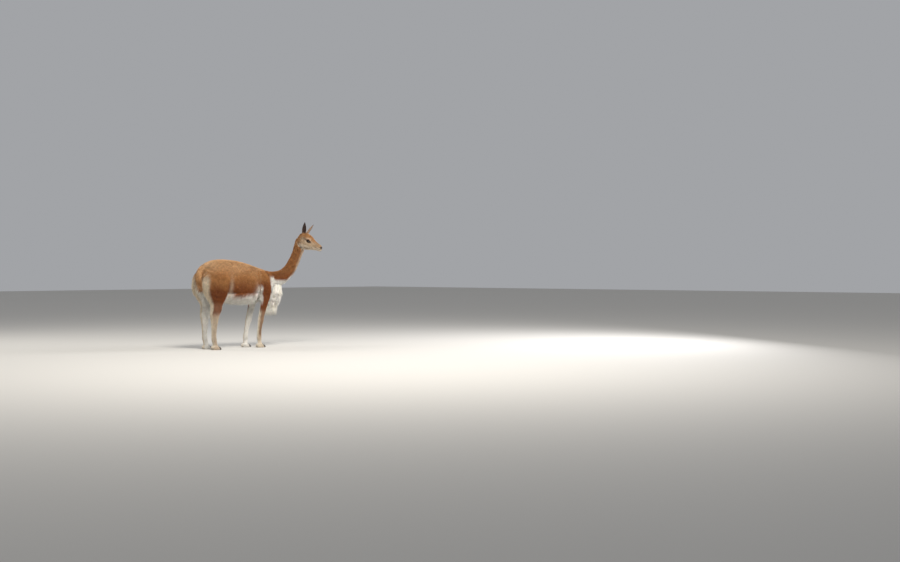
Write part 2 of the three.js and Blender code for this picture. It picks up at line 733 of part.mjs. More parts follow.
// The four legs, each loft kept for cutting its socket in the trunk
const HIND_KIND = { rows: HIND, pivot: 520, cut: HOCK_CUT, foot: [-243, HIND_FOOT_Y - 2] };
const FORE_KIND = { rows: FORE, pivot: 470, cut: KNEE_CUT, foot: [286, FORE_FOOT_Y] };
const LEGS = [
  { name: "hind_leg_left", side: 1, swing: HIND_SWING[0], ...HIND_KIND },
  { name: "hind_leg_right", side: -1, swing: HIND_SWING[1], ...HIND_KIND },
  { name: "foreleg_left", side: 1, swing: FORE_SWING[0], ...FORE_KIND },
  { name: "foreleg_right", side: -1, swing: FORE_SWING[1], ...FORE_KIND },
].map((leg) => ({ ...leg, loft: legLoft(leg.rows, leg.side, leg.swing, leg.pivot) }));

for (const leg of LEGS) leg.clumps = leg.rows === HIND ? thighClumps(leg.loft, leg.side) : [];

const group = new THREE.Group();
const add = (name, solid, material) => group.add(meshOf(name, solid, material));

// A leg with its fleece, kept to its own side of the cleft. grow makes the hollow that it sits in
function legSolid({ side, loft, clumps }, grow = 0) {
  const state = seed;
  const whole = join([loft.solid(grow), ...clumps.map((kind) => clump(...kind, grow))]);
  seed = state;
  const floor = keep(whole, [0, 0, 0], [0, 0, 1], 0);
  return keep(floor, [0, side * CREASE, 0], [0, side, 0], -grow);
}

// Each leg, in two nodes parted at the hock or knee, with its toes and nails
for (const leg of LEGS) {
  const { name, side, swing, cut, foot } = leg;
  const own = legSolid(leg);
  add(name + "_upper", keep(own, [0, 0, cut], [0, 0, 1]), RUST);
  const toes = [-1, 1].map((s) => toeSolids(foot[0] + swing, side * foot[1], s));
  const lower = join([keep(own, [0, 0, cut], [0, 0, -1]), ...toes.map((t) => t.toe)]);
  add(name + "_lower", lower.subtract(join(toes.map((t) => t.clearance))), CREAM);
  toes.forEach((t, i) => add(`${name}_nail_${i + 1}`, t.nail, NAIL));
}

// The trunk, chest, neck and head are one body, parted by thin cuts
const sockets = join(LEGS.map((leg) => legSolid(leg, 1.5 * GAP)));
const plainBody = join([trunk.solid(), neck.solid()]);
const NECK_CUT = { at: [478, -16, 626], normal: [0.86, -0.18, 0.36] };
const BEND_CUT = { at: [655, -84, 812], normal: [0.2, -0.2, 0.96] };
const HEAD_CUT = { at: [8, 0, 0], normal: [0.86, 0, 0.5] }; // in the head's own frame
const cutPoint = vec(HEAD_CUT.at).applyMatrix4(headPlace).toArray();
const cutNormal = vec(HEAD_CUT.normal).transformDirection(headPlace).toArray();
const flip = (n) => n.map((v) => -v);

const fleece = join([...trunkClumps(), ...bellyLocks()]);
const torso = keep(join([plainBody, fleece]), [CHEST_CUT, 0, 0], [-1, 0, 0]).subtract(sockets);
add("torso", torso, FAWN);
const nearNeck = keep(neck.solid(GAP), NECK_CUT.at, NECK_CUT.normal, -GAP);
const front = keep(keep(plainBody, [CHEST_CUT, 0, 0], [1, 0, 0]), NECK_CUT.at, flip(NECK_CUT.normal));
const hanging = keep(bibSolid(), [CHEST_CUT, 0, 0], [1, 0, 0]).subtract(nearNeck);
add("chest", join([front, hanging]).subtract(sockets), CREAM);
const upper = keep(join([neck.solid(), solidOf(headLoft.geometry(), headPlace)]), cutPoint, flip(cutNormal));
add("neck_lower", keep(keep(upper, NECK_CUT.at, NECK_CUT.normal), BEND_CUT.at, flip(BEND_CUT.normal)), RUST);
add("neck_upper", keep(upper, BEND_CUT.at, BEND_CUT.normal), RUST);
const head = join([headSolid(), neck.solid()]);
add("head", keep(head, cutPoint, cutNormal), FACE);

for (const side of [1, -1]) {
  const word = side > 0 ? "left" : "right";
  add("ear_" + word, earSolid(side), EAR_BROWN);
  const eye = ball([EYE_AT[0], side * EYE_AT[1], EYE_AT[2]], Array(3).fill(EYE_RADIUS));
  add("eye_" + word, eye.transform(headPlace.toArray()), EYE_DARK);
}
add("tail", tailSolid().subtract(join([trunk.solid(GAP), sockets])), FAWN);

group.position.set(-BOX_CENTRE[0], -BOX_CENTRE[1], 0);
export default group;
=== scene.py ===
"""A standing vicuna at life size: one skin under a coat of solid tufts, its eyes and nails set in it.

The tables below are in millimetres in the animal's own frame: +X towards the head, +Y its left, +Z up.
Everything is turned to metres and shifted by BOX_CENTRE as its mesh is made.
"""
import math
from collections import namedtuple

import bmesh
import bpy
import numpy as np
from mathutils import Matrix, Vector
from mathutils.kdtree import KDTree


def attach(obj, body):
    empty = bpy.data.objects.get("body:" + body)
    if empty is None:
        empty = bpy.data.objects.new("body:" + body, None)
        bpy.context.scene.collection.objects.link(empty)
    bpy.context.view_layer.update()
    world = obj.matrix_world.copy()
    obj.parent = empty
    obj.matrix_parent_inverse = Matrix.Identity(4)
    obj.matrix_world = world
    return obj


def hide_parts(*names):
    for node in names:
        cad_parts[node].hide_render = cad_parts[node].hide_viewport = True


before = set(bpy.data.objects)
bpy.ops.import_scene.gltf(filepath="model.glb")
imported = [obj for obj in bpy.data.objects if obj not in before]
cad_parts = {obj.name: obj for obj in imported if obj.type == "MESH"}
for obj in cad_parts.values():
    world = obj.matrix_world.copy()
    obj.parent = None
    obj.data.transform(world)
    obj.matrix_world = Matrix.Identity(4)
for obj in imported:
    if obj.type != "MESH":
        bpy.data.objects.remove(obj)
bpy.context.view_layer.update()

# Driving dimensions
RUMP_TOP = 792
BELLY_LOW = 418
HAUNCH_REAR = -372
HIND_FOOT_Y = 74
FORE_FOOT_Y = 66
HIND_FOOT_X = -243
FORE_FOOT_X = 286
HEAD_LENGTH = 232
HEAD_AT = (680, -127, 990)
HEAD_TURN = -62
HEAD_DROP = 21
EYE_RADIUS = 18
EYE_AT = (97, 37, 14)
EAR_LENGTH = 116
BIB_TIP = 264
SWING = {"hind": {"left": 8, "right": 0}, "fore": {"left": -98, "right": -34}}
PIVOT = {"hind": 520, "fore": 470}
CREASE = 22
BOX_CENTRE = np.array([191.2, -79.9, 0.0])

# How far the skin lies inside each form's table in millimetres, and its voxels in metres
DEPTH = {"trunk": 5, "neck": 9, "head": 2.2, "upper leg": 5, "lower leg": 3, "tail": 4, "bib": 6}
BODY_VOXEL = 0.0042
HEAD_VOXEL = 0.0013

# A full turn, the phases that random waves take, and how many waves are summed
TAU = 2 * math.pi
PHASES = (0, 6.28)
WAVE_COUNT = 7
rng = np.random.default_rng(20517)


def unit(v):
    return v / np.maximum(np.linalg.norm(v, axis=-1, keepdims=True), 1e-9)


def beside(v, way):
    """What is left of v without its part along the unit vectors way."""
    return v - way * np.sum(v * way, 1, keepdims=True)


def mix(a, b, share):
    """From a to b as share goes from 0 to 1."""
    share = np.asarray(share, float)[..., None]
    return a * (1 - share) + b * share


def layers(ground, *coats):
    """The ground colour under pairs of a colour and its share, each over those before it."""
    for colour, share in coats:
        ground = mix(ground, colour, share)
    return ground


def step(value, low, high):
    """0 below low and 1 above high, smooth between."""
    u = np.clip((value - low) / (high - low), 0, 1)
    return u * u * (3 - 2 * u)


def waves(p, size, key):
    """A smooth value from -1 to 1 that changes over about size, at the points p."""
    own = np.random.default_rng(key)
    total = np.zeros(len(p))
    for _ in range(WAVE_COUNT):
        way = unit(own.normal(size=3)) * own.uniform(0.6, 1.5) * TAU / size
        total += np.sin(p @ way + own.uniform(*PHASES))
    return np.clip(total / 3, -1, 1)


def bell(value, middle, reach, power=2):
    """1 at the middle, falling to near 0 beyond reach on both sides."""
    return np.exp(-(((value - middle) / reach) ** power))


class Loft:
    """A form through rows [x, y, z, half width, up, down, turn, square].

    Turn is the heading of the side vector in degrees, and square is the power of the section's curve.
    """

    THINNEST = 0.2
    NUDGE = 0.004

    def __init__(self, rows, axis=None, bumps=()):
        rows = [list(row) + [0, 2][len(row) - 6:] for row in rows]
        self.rows = np.array(rows, float)
        self.axis = None if axis is None else np.array(axis, float)
        self.bumps = bumps
        steps = np.linalg.norm(np.diff(self.rows[:, :3], axis=0), axis=1)
        self.at = np.concatenate([[0], np.cumsum(steps)])
        last = len(rows) - 1
        before = np.maximum(np.arange(last + 1) - 1, 0)
        after = np.minimum(np.arange(last + 1) + 1, last)
        self.slope = (self.rows[after] - self.rows[before]) / (self.at[after] - self.at[before])[:, None]

    def row(self, t):
        s = np.clip(t, 0, 1) * self.at[-1]
        i = np.clip(np.searchsorted(self.at, s, side="right") - 1, 0, len(self.rows) - 2)
        span = (self.at[i + 1] - self.at[i])[:, None]
        u = (s - self.at[i])[:, None] / span
        return (
            self.rows[i] * (2 * u**3 - 3 * u**2 + 1)
            + self.slope[i] * span * (u**3 - 2 * u**2 + u)
            + self.rows[i + 1] * (3 * u**2 - 2 * u**3)
            + self.slope[i + 1] * span * (u**3 - u**2)
        )

    def point(self, t, angle, grow=0.0):
        """Surface points at t along and angle round, moved out by grow."""
        t = np.asarray(t, float)
        angle = np.broadcast_to(np.asarray(angle, float), t.shape)
        row = self.row(t)
        if self.axis is None:
            tangent = unit(self.row(t + self.NUDGE)[:, :3] - self.row(t - self.NUDGE)[:, :3])
        else:
            tangent = np.broadcast_to(self.axis, (len(t), 3))
        heading = np.radians(row[:, 6])
        side = np.stack([-np.sin(heading), np.cos(heading), 0 * heading], 1)
        side = unit(beside(side, tangent))
        up = np.cross(tangent, side)
        c, s = np.cos(angle), np.sin(angle)
        power = 2 / row[:, 7]
        across = np.sign(c) * np.abs(c) ** power * np.maximum(self.THINNEST, row[:, 3] + grow)
        high = np.where(s > 0, row[:, 4], row[:, 5])
        along = np.sign(s) * np.abs(s) ** power * np.maximum(self.THINNEST, high + grow)
        p = row[:, :3] + side * across[:, None] + up * along[:, None]
        for at, reach, push in self.bumps:
            share = np.exp(-np.sum(((p - at) / reach) ** 2, axis=1))
            p = p + np.array(push, float) * share[:, None]
        return p

    def way(self, t, angle):
        """The direction along the surface, towards the form's end."""
        return unit(self.point(np.minimum(t + 0.02, 1), angle) - self.point(np.maximum(t - 0.02, 0), angle))

    def mesh(self, steps, sides, grow=0.0):
        """Vertices and faces; grow is a number or a function of t."""
        t = np.repeat(np.linspace(0, 1, steps + 1), sides)
        grow = grow(t) if callable(grow) else grow
        angle = np.tile(np.arange(sides) / sides * TAU, steps + 1)
        places = self.point(t, angle, grow)
        ends = [places[:sides].mean(0), places[-sides:].mean(0)]
        places = np.vstack([places, ends])
        faces = []
        for j in range(sides):
            k = (j + 1) % sides
            faces.append((len(places) - 2, k, j))
            faces.append((len(places) - 1, steps * sides + j, steps * sides + k))
            for i in range(steps):
                faces.append((i * sides + j, i * sides + k, (i + 1) * sides + k, (i + 1) * sides + j))
        return places, faces


def about(axis, degrees):
    """A turn about one of the axes, as a matrix."""
    return np.array(Matrix.Rotation(math.radians(degrees), 3, axis))


def lying(rows, bumps=()):
    """A loft along X through rows [x, top, bottom, half width, square]."""
    full = []
    for x, top, low, half, square in rows:
        high = (top - low) / 2
        full.append((x, 0, (top + low) / 2, half, high, high, 0, square))
    return Loft(full, (1, 0, 0), bumps)


trunk = lying([
    (HAUNCH_REAR + 14, 668, 612, 20, 2), (HAUNCH_REAR + 24, 700, 584, 60, 2.1), (-318, 736, 546, 98, 2.2),
    (-270, 766, 508, 120, 2.2), (-205, 786, 466, 130, 2.2), (-120, RUMP_TOP, 436, 131, 2.2),
    (-30, 788, 424, 129, 2.25), (65, 774, BELLY_LOW, 126, 2.3), (155, 753, BELLY_LOW, 121, 2.3),
    (235, 730, 424, 114, 2.25), (305, 710, 436, 104, 2.2), (365, 696, 456, 90, 2.1),
    (415, 686, 498, 70, 2), (448, 668, 540, 46, 2), (462, 640, 580, 18, 2),
])
neck = Loft([
    (330, 0, 600, 92, 92, 108, 0), (420, -6, 612, 79, 79, 98, -5), (500, -22, 632, 66, 66, 84, -12),
    (560, -38, 662, 57, 59, 70, -18), (608, -56, 714, 51, 54, 62, -26), (641, -75, 783, 48, 51, 57, -35),
    (664, -92, 850, 46, 49, 54, -44), (681, -107, 916, 45, 48, 53, -51), (692, -121, 975, 43, 44, 48, -58),
    (696, -129, 1004, 26, 26, 28, -62),
])

# Legs: rows of [x, z, front, back, y, half width], y and half width for a left leg
HIND = [
    (-196, 728, 24, 36, 56, 16), (-206, 704, 78, 96, 64, 42), (-220, 650, 112, 132, 72, 76),
    (-228, 575, 118, -HAUNCH_REAR - 228, 76, 80), (-228, 510, 108, 138, 77, 74), (-226, 450, 84, 104, 76, 60),
    (-228, 398, 58, 68, HIND_FOOT_Y, 46), (-240, 348, 60, 54, HIND_FOOT_Y, 40),
    (-254, 304, 52, 46, HIND_FOOT_Y, 35),
    (-257, 262, 42, 34, HIND_FOOT_Y, 29), (-258, 198, 30, 26, HIND_FOOT_Y - 1, 24),
    (-259, 132, 24, 23, HIND_FOOT_Y - 2, 21), (-257, 92, 25, 23, HIND_FOOT_Y - 2, 23),
    (-250, 58, 23, 21, HIND_FOOT_Y - 2, 22), (HIND_FOOT_X, 30, 24, 26, HIND_FOOT_Y - 2, 25),
    (-241, 6, 16, 18, HIND_FOOT_Y - 2, 18),
]
FORE = [
    (262, 694, 24, 30, 70, 16), (266, 662, 52, 60, 77, 34), (276, 600, 70, 78, 84, 44),
    (288, 530, 66, 76, 87, 48), (297, 465, 52, 60, 84, 44), (297, 408, 38, 43, 80, 35),
    (289, 345, 30, 32, 76, 28), (279, 282, 29, 30, 71, 27), (275, 243, 30, 27, 68, 28),
    (272, 205, 24, 24, 67, 23), (270, 150, 21, 21, FORE_FOOT_Y, 20), (270, 90, 23, 21, FORE_FOOT_Y, 22),
    (277, 56, 20, 19, FORE_FOOT_Y, 20), (284, 28, 22, 24, FORE_FOOT_Y, 24),
    (FORE_FOOT_X, 6, 15, 17, FORE_FOOT_Y, 17),
]
LEG_SQUARE = 2.1
SIDES = {"left": 1, "right": -1}


def leg_loft(kind, word, rows):
    """A leg's loft, its foot swung forward from the height of its pivot."""
    placed = []
    for x, z, front, back, y, half in rows:
        swing = SWING[kind][word] * max(0, (PIVOT[kind] - z) / PIVOT[kind])
        placed.append((x + swing, SIDES[word] * y, z, half, front, back, 0, LEG_SQUARE))
    return Loft(placed, (0, 0, -1))


legs = {}
for word in SIDES:
    legs["hind " + word] = leg_loft("hind", word, HIND)
    legs["fore " + word] = leg_loft("fore", word, FORE)


# Head, in its own frame: +X to the lips, origin at the occiput
def both(at, reach, push):
    """A bump and its mirror image."""
    x, y, z = at
    a, b, c = push
    return [((x, y, z), reach, (a, b, c)), ((x, -y, z), reach, (a, -b, c))]


HEAD_BUMPS = (
    both((EYE_AT[0], 44, 34), (24, 18, 11), (0, 4, 3))
    + both((EYE_AT[0] + 10, 48, -14), (36, 18, 10), (0, 4, 0))
    + both((EYE_AT[0] + 34, 36, 12), (20, 16, 13), (0, -5, 0))
    + both((162, 30, -18), (26, 14, 12), (0, -3, 0))
    + both((216, 17, -2), (12, 10, 9), (1, 3.5, 2))
    + both((208, 22, -22), (18, 12, 8), (0, 3, 0))
    + both((62, 46, -52), (24, 16, 18), (0, 3, -2))
    + both((226, 11, -22), (8, 7, 9), (2.5, 1, -1))
    + [((224, 0, -40), (14, 14, 8), (0, 0, -3)), ((136, 0, 40), (26, 14, 14), (0, 0, -3))]
)
head = lying([
    (HEAD_LENGTH * share, top, low, half, square) for share, top, low, half, square in [
        (-0.08, 30, -28, 20, 2), (-0.03, 50, -54, 37, 2), (0.07, 64, -72, 46, 2), (0.19, 71, -78, 50, 2.05),
        (0.32, 69, -77, 50, 2.1), (0.44, 60, -70, 45, 2.1), (0.56, 45, -61, 36.5, 2.1),
        (0.68, 31, -53, 29.5, 2.15), (0.8, 22, -47, 27, 2.2), (0.9, 16, -43, 25.5, 2.25),
        (0.965, 6, -38, 19, 2.2), (1, -8, -27, 8, 2),
    ]
], HEAD_BUMPS)
HEAD_AXES = about("Z", HEAD_TURN) @ about("Y", HEAD_DROP)


def from_head(p):
    return p @ HEAD_AXES.T + np.array(HEAD_AT, float)


def to_head(p):
    return (p - np.array(HEAD_AT, float)) @ HEAD_AXES


def eye_centre(side):
    """The middle of an eye in the head's frame."""
    return np.array([EYE_AT[0], side * EYE_AT[1], EYE_AT[2]], float)


# Ears: rows of [along, half width, half thickness]
EAR = [
    (-0.1, 9, 9), (0, 13, 11), (0.2, 18, 12), (0.42, 20, 11), (0.65, 16.5, 8.5), (0.84, 9.5, 5.5),
    (0.96, 3.5, 2.6), (1, 1, 0.9),
]
EAR_ROOT = (30, 30, 50)
EAR_OUT = {"left": 22, "right": 10}
EAR_FORWARD = {"left": 8, "right": -12}
EAR_FACING = {"left": -30, "right": -78}
EAR_WALL = 2.6


def ear_axes(word):
    side = SIDES[word]
    lean = about("X", -side * EAR_OUT[word]) @ about("Y", EAR_FORWARD[word])
    return HEAD_AXES @ lean @ about("Z", -side * EAR_FACING[word])


def ear_origin(word):
    return from_head(np.array([EAR_ROOT[0], SIDES[word] * EAR_ROOT[1], EAR_ROOT[2]], float))


def ear_place(word, p):
    return p @ ear_axes(word).T + ear_origin(word)


def ear_point(along, round_share, inner):
    """A point of the ear's cup in its own frame, +Z to the tip and +X out of the cup."""
    rows = np.array(EAR, float)
    half = np.interp(along, rows[:, 0], rows[:, 1])
    thick = np.interp(along, rows[:, 0], rows[:, 2])
    angle = round_share * math.pi / 2
    wall = np.minimum(EAR_WALL, half * 0.45)
    closing = 1 - step(along, -0.02, 0.22)
    reach = np.where(inner, -1.1 * thick + wall + closing * thick, -1.1 * thick)
    rim = 0.55 * thick * np.sin(np.abs(angle)) ** 3
    x = reach * np.cos(angle) + rim
    y = (half - np.where(inner, wall * 0.8, 0)) * np.sin(angle)
    return np.stack([x, y, along * EAR_LENGTH], 1)


def ear_mesh(word):
    """An ear's cup as one closed surface, out along its back and in along its hollow."""
    steps, across = 34, 15
    places, faces = [], []
    shares = np.linspace(-1, 1, across)
    ring = 2 * across
    for along in np.linspace(-0.1, 1, steps + 1):
        outer = ear_point(np.full(across, along), shares, np.zeros(across, bool))
        inner = ear_point(np.full(across, along), shares[::-1], np.ones(across, bool))
        places += [outer, inner]
    places = np.vstack(places)
    for i in range(steps):
        for j in range(ring):
            k = (j + 1) % ring
            faces.append((i * ring + j, i * ring + k, (i + 1) * ring + k, (i + 1) * ring + j))
    faces.append(tuple(range(ring))[::-1])
    faces.append(tuple(steps * ring + j for j in range(ring)))
    return ear_place(word, places), faces


tail = Loft([
    (x, y, z, half, back, front, 180, 2) for x, y, z, half, back, front in [
        (-296, 0, 726, 18, 12, 12), (-328, -3, 722, 24, 15, 15), (-356, -8, 694, 26, 15, 15),
        (-368, -14, 646, 26, 14, 13), (-370, -20, 602, 19, 10, 10), (-370, -23, 575, 5, 4, 4),
    ]
])
bib = Loft([
    (x, 0, z, half, front, back, 0, 2.1) for x, z, front, back, half in [
        (430, 634, 68, 40, 40), (434, 592, 96, 62, 58), (437, 540, 100, 68, 60), (434, 480, 76, 58, 48),
        (428, 438, 46, 40, 32), (424, 410, 12, 12, 10),
    ]
], (0, 0, -1))


# Meshes
def place(p):
    """Metres in the shared frame for millimetres in the animal's."""
    return (np.asarray(p, float) - BOX_CENTRE) * 0.001


def add_object(name, data):
    made = bpy.data.objects.new(name, data)
    bpy.context.collection.objects.link(made)
    return made


def new_object(name, places, faces):
    """A closed mesh that faces outwards."""
    mesh = bpy.data.meshes.new(name)
    mesh.from_pydata(place(places).tolist(), [], faces)
    work = bmesh.new()
    work.from_mesh(mesh)
    bmesh.ops.remove_doubles(work, verts=work.verts, dist=1e-6)
    bmesh.ops.recalc_face_normals(work, faces=work.faces)
    work.to_mesh(mesh)
    work.free()
    return add_object(name, mesh)


def apply_modifiers(obj):
    graph = bpy.context.evaluated_depsgraph_get()
    made = bpy.data.meshes.new_from_object(obj.evaluated_get(graph))
    obj.modifiers.clear()
    old = obj.data
    obj.data = made
    bpy.data.meshes.remove(old)


def joined(name, objects):
    """One object of all these meshes."""
    work = bmesh.new()
    for obj in objects:
        work.from_mesh(obj.data)
        bpy.data.objects.remove(obj)
    mesh = bpy.data.meshes.new(name)
    work.to_mesh(mesh)
    work.free()
    return add_object(name, mesh)


def boolean(obj, other, operation):
    change = obj.modifiers.new("cut", "BOOLEAN")
    change.operation = operation
    change.solver = "MANIFOLD"
    change.object = other
    apply_modifiers(obj)
    bpy.data.objects.remove(other)


def voxels(obj, size):
    """One closed surface for all that obj holds."""
    change = obj.modifiers.new("skin", "REMESH")
    change.mode = "VOXEL"
    change.voxel_size = size
    apply_modifiers(obj)


def ball(centre, radii, turn=None, rings=20):
    sides = 2 * rings
    u = np.repeat(np.linspace(0, math.pi, rings + 1), sides)
    v = np.tile(np.arange(sides) / rings * math.pi, rings + 1)
    p = np.stack([np.sin(u) * np.cos(v), np.sin(u) * np.sin(v), np.cos(u)], 1) * radii
    if turn is not None:
        p = p @ turn.T
    faces = []
    for i in range(rings):
        for j in range(sides):
            k = (j + 1) % sides
            faces.append((i * sides + j, (i + 1) * sides + j, (i + 1) * sides + k, i * sides + k))
    return p + np.array(centre, float), faces


# Toes, with the nail parted from each at its end
TOE = [
    (-34, 17, 6, 5), (-28, 17, 15, 11), (-8, 17, 20, 14.5), (16, 15, 18, 14), (34, 12, 14, 11), (46, 8, 9, 7),
    (50, 6, 3, 2.5),
]
TOE_SPREAD = 14.5
TOE_SPLAY = 7
NAIL_START = 27
NAIL_LEAN = 0.582
NAIL_PARTING = 0.15
toe_loft = Loft([(x, 0, z, half, high, high, 0, 2.3) for x, z, high, half in TOE], (1, 0, 0))
FOOT_AT = {"hind": (HIND_FOOT_X, HIND_FOOT_Y - 2), "fore": (FORE_FOOT_X, FORE_FOOT_Y)}


def toe_pieces(kind, word, side):
    """The flesh and the nail of one toe as two closed objects."""
    foot_x = FOOT_AT[kind][0] + SWING[kind][word]
    foot_y = SIDES[word] * FOOT_AT[kind][1]
    turn = about("Z", side * TOE_SPLAY)
    origin = np.array([foot_x, foot_y + side * TOE_SPREAD, 0.0])
    pieces = []
    for keep_nail in (False, True):
        p, faces = toe_loft.mesh(30, 22, -0.4 if keep_nail else 0)
        edge = NAIL_START - NAIL_LEAN * (p[:, 2] - 16) + (NAIL_PARTING if keep_nail else -NAIL_PARTING)
        over = p[:, 0] < edge if keep_nail else p[:, 0] > edge
        p[over, 0] = edge[over]
        p = p @ turn.T + origin
        p[:, 2] = np.maximum(p[:, 2], 0.0)
        p[:, 1] = foot_y + side * np.maximum(side * (p[:, 1] - foot_y), 0.3)
        pieces.append(new_object("toe", p, faces))
    return pieces


LIMBS = {"hind": "hind_leg", "fore": "foreleg"}
KNEE = {"hind": 330, "fore": 400}


def leg_mesh(name, steps=70, sides=36):
    """A leg drawn in by the coat's depth, and kept clear of the middle plane and the floor."""
    kind, word = name.split()
    side, knee = SIDES[word], KNEE[kind]
    p, faces = legs[name].mesh(steps, sides)
    centre = legs[name].row(np.linspace(0, 1, steps + 1))[:, :2].repeat(sides, 0)
    ring = p[:-2]
    thicker = DEPTH["upper leg"] - DEPTH["lower leg"]
    depth = DEPTH["lower leg"] + thicker * step(ring[:, 2], knee - 60, knee)
    flat = ring[:, :2] - centre
    ring[:, :2] -= unit(flat) * np.minimum(depth, 0.4 * np.linalg.norm(flat, axis=1))[:, None]
    p[:, 1] = side * np.maximum(side * p[:, 1], CREASE - 6)
    p[:, 2] = np.maximum(p[:, 2], 0.0)
    return p, faces


def skin_parts():
    """The flesh of all but the head as closed meshes, and each nail with the node that it stands for."""
    parts = [
        new_object("trunk", *trunk.mesh(60, 64, -DEPTH["trunk"])),
        new_object("neck", *neck.mesh(60, 48, lambda t: -DEPTH["neck"] * (1 - 0.7 * step(t, 0.72, 0.9)))),
        new_object("tail", *tail.mesh(30, 24, -DEPTH["tail"])),
        new_object("bib", *bib.mesh(30, 36, -DEPTH["bib"])),
    ]
    nails = []
    for name in legs:
        parts.append(new_object(name, *leg_mesh(name)))
        kind, word = name.split()
        for number, toe_side in enumerate((-1, 1), start=1):
            flesh, nail = toe_pieces(kind, word, toe_side)
            parts.append(flesh)
            nail.name = f"{LIMBS[kind]}_{word}_horn_{number}"
            nails.append((nail, f"{LIMBS[kind]}_{word}_nail_{number}"))
    return parts, nails


# Lids: half the slit's length and its height over the middle line, in the lid's own turned plane
EYE_SLIT = (16.5, 10)
EYE_TURN = -14
LID = 3.0
LID_TILT = -2.2
LOWER_LID = 0.86


def lid_edge(share, high):
    """X and Z of the slit's edge at a share of its length, and high over its middle line."""
    return EYE_SLIT[0] * (2 * share - 1), LID_TILT * share + high * np.sin(math.pi * share) ** 0.8


def eye_opening(side):
    """A prism through the lids, almond-shaped across."""
    share = np.linspace(0, 1, 25)
    top = np.stack(lid_edge(share, EYE_SLIT[1]), 1)
    low = np.stack(lid_edge(share, -LOWER_LID * EYE_SLIT[1]), 1)
    outline = np.concatenate([top, low[-2:0:-1]])
    count = len(outline)
    near = np.stack([outline[:, 0], np.zeros(count), outline[:, 1]], 1)
    far = near * (1.25, 1, 1.25) + (0, 40, 0)
    p = np.vstack([near, far])
    p = p @ (about("Z", EYE_TURN) @ about("X", -2)).T
    p = p * (1, side, 1) + eye_centre(side)
    faces = [tuple(range(count))[::-1], tuple(range(count, 2 * count))]
    for j in range(count):
        k = (j + 1) % count
        faces.append((j, k, count + k, count + j))
    return p, faces


# The line of the mouth: points [share of the head's length, side, height]
MOUTH = [
    (0.72, -30, -27), (0.8, -30, -24), (0.9, -27, -22), (0.96, -17, -21), (0.985, 0, -21), (0.96, 17, -21),
    (0.9, 27, -22), (0.8, 30, -24), (0.72, 30, -27),
]


def mouth_groove():
    """A thin worm along the mouth's line, which cuts the lips apart."""
    last = len(MOUTH) - 1
    rows = []
    for i, (share, y, z) in enumerate(MOUTH):
        deep = 0.8 if i in (0, last) else 4.2
        rows.append((share * HEAD_LENGTH, y, z, deep, 1.2, 1.2, 10 + 160 * i / last))
    return Loft(rows).mesh(60, 10)


def head_skin():
    """The head with its ears, lids, nostrils and mouth."""
    def put(name, shape):
        return new_object(name, from_head(shape[0]), shape[1])

    solid = [put("skull", head.mesh(150, 96, -DEPTH["head"]))]
    for word, side in SIDES.items():
        solid.append(put("lids", ball(eye_centre(side), (EYE_RADIUS + LID,) * 3, rings=28)))
        solid.append(new_object("ear", *ear_mesh(word)))
    made = joined("head", solid)
    voxels(made, HEAD_VOXEL)
    cleft = ball((0.985 * HEAD_LENGTH, 0, -13), (10, 1.1, 8))
    holes = [put("mouth", mouth_groove()), put("cleft", cleft)]
    for side in (-1, 1):
        holes.append(put("socket", ball(eye_centre(side), (EYE_RADIUS + 0.3,) * 3, rings=28)))
        holes.append(put("opening", eye_opening(side)))
        lean = about("Z", side * 60) @ about("Y", -28)
        nostril = ball((0.95 * HEAD_LENGTH, side * 13.5, -2), (9.5, 2.6, 4.2), lean)
        holes.append(put("nostril", nostril))
        canal = (EAR_ROOT[0] + 6, side * (EAR_ROOT[1] + 4), EAR_ROOT[2] + 22)
        holes.append(put("ear canal", ball(canal, (6, 5, 9))))
    for hole in holes:
        boolean(made, hole, "DIFFERENCE")
    return made


def smooth(obj, chosen, rounds):
    """Eases the chosen vertices of obj; chosen is a boolean array."""
    work = bmesh.new()
    work.from_mesh(obj.data)
    work.verts.ensure_lookup_table()
    verts = [work.verts[i] for i in np.nonzero(chosen)[0]]
    for _ in range(rounds):
        bmesh.ops.smooth_vert(
            work, verts=verts, factor=0.5, use_axis_x=True, use_axis_y=True, use_axis_z=True
        )
    work.to_mesh(obj.data)
    work.free()


def points_of(obj):
    """The vertices of obj in the animal's frame."""
    flat = np.empty(len(obj.data.vertices) * 3, np.float32)
    obj.data.vertices.foreach_get("co", flat)
    return flat.reshape(-1, 3).astype(float) * 1000 + BOX_CENTRE


parts, nails = skin_parts()
skin = joined("skin", parts)
voxels(skin, BODY_VOXEL)
smooth(skin, points_of(skin)[:, 2] > 60, 4)
boolean(skin, head_skin(), "UNION")
# Where the neck's skin runs into the head's
own = to_head(points_of(skin))
nape = (own[:, 0] > -30) & (own[:, 0] < 34) & (own[:, 2] < 52) & (np.linalg.norm(own, axis=1) < 130)
smooth(skin, nape, 8)
eyes = []
for word, side in SIDES.items():
    places, faces = ball((0, 0, 0), (EYE_RADIUS,) * 3, rings=32)
    facing = about("Z", side * (90 + EYE_TURN))
    turned = places @ about("Y", 90).T @ facing.T + eye_centre(side)
    eyes.append((new_object(f"eyeball_{word}", from_head(turned), faces), f"eye_{word}", side))
for obj in [skin] + [nail for nail, _ in nails] + [eye for eye, _, _ in eyes]:
    obj.data.polygons.foreach_set("use_smooth", [True] * len(obj.data.polygons))


# The surface of every form, sampled: where a point of the skin belongs, its lie and its place in the unwrap
FORMS = ["trunk", "neck", "head", "tail", "bib", "hind left", "hind right", "fore left", "fore right",
         "ear left", "ear right"]
LOFTS = {"trunk": trunk, "neck": neck, "head": head, "tail": tail, "bib": bib, **legs}
# How many samples along and round each form
SAMPLES = {"trunk": (150, 140), "head": (110, 110), "neck": (110, 70)}
FEWER_SAMPLES = (110, 60)
EAR_SAMPLES = 60
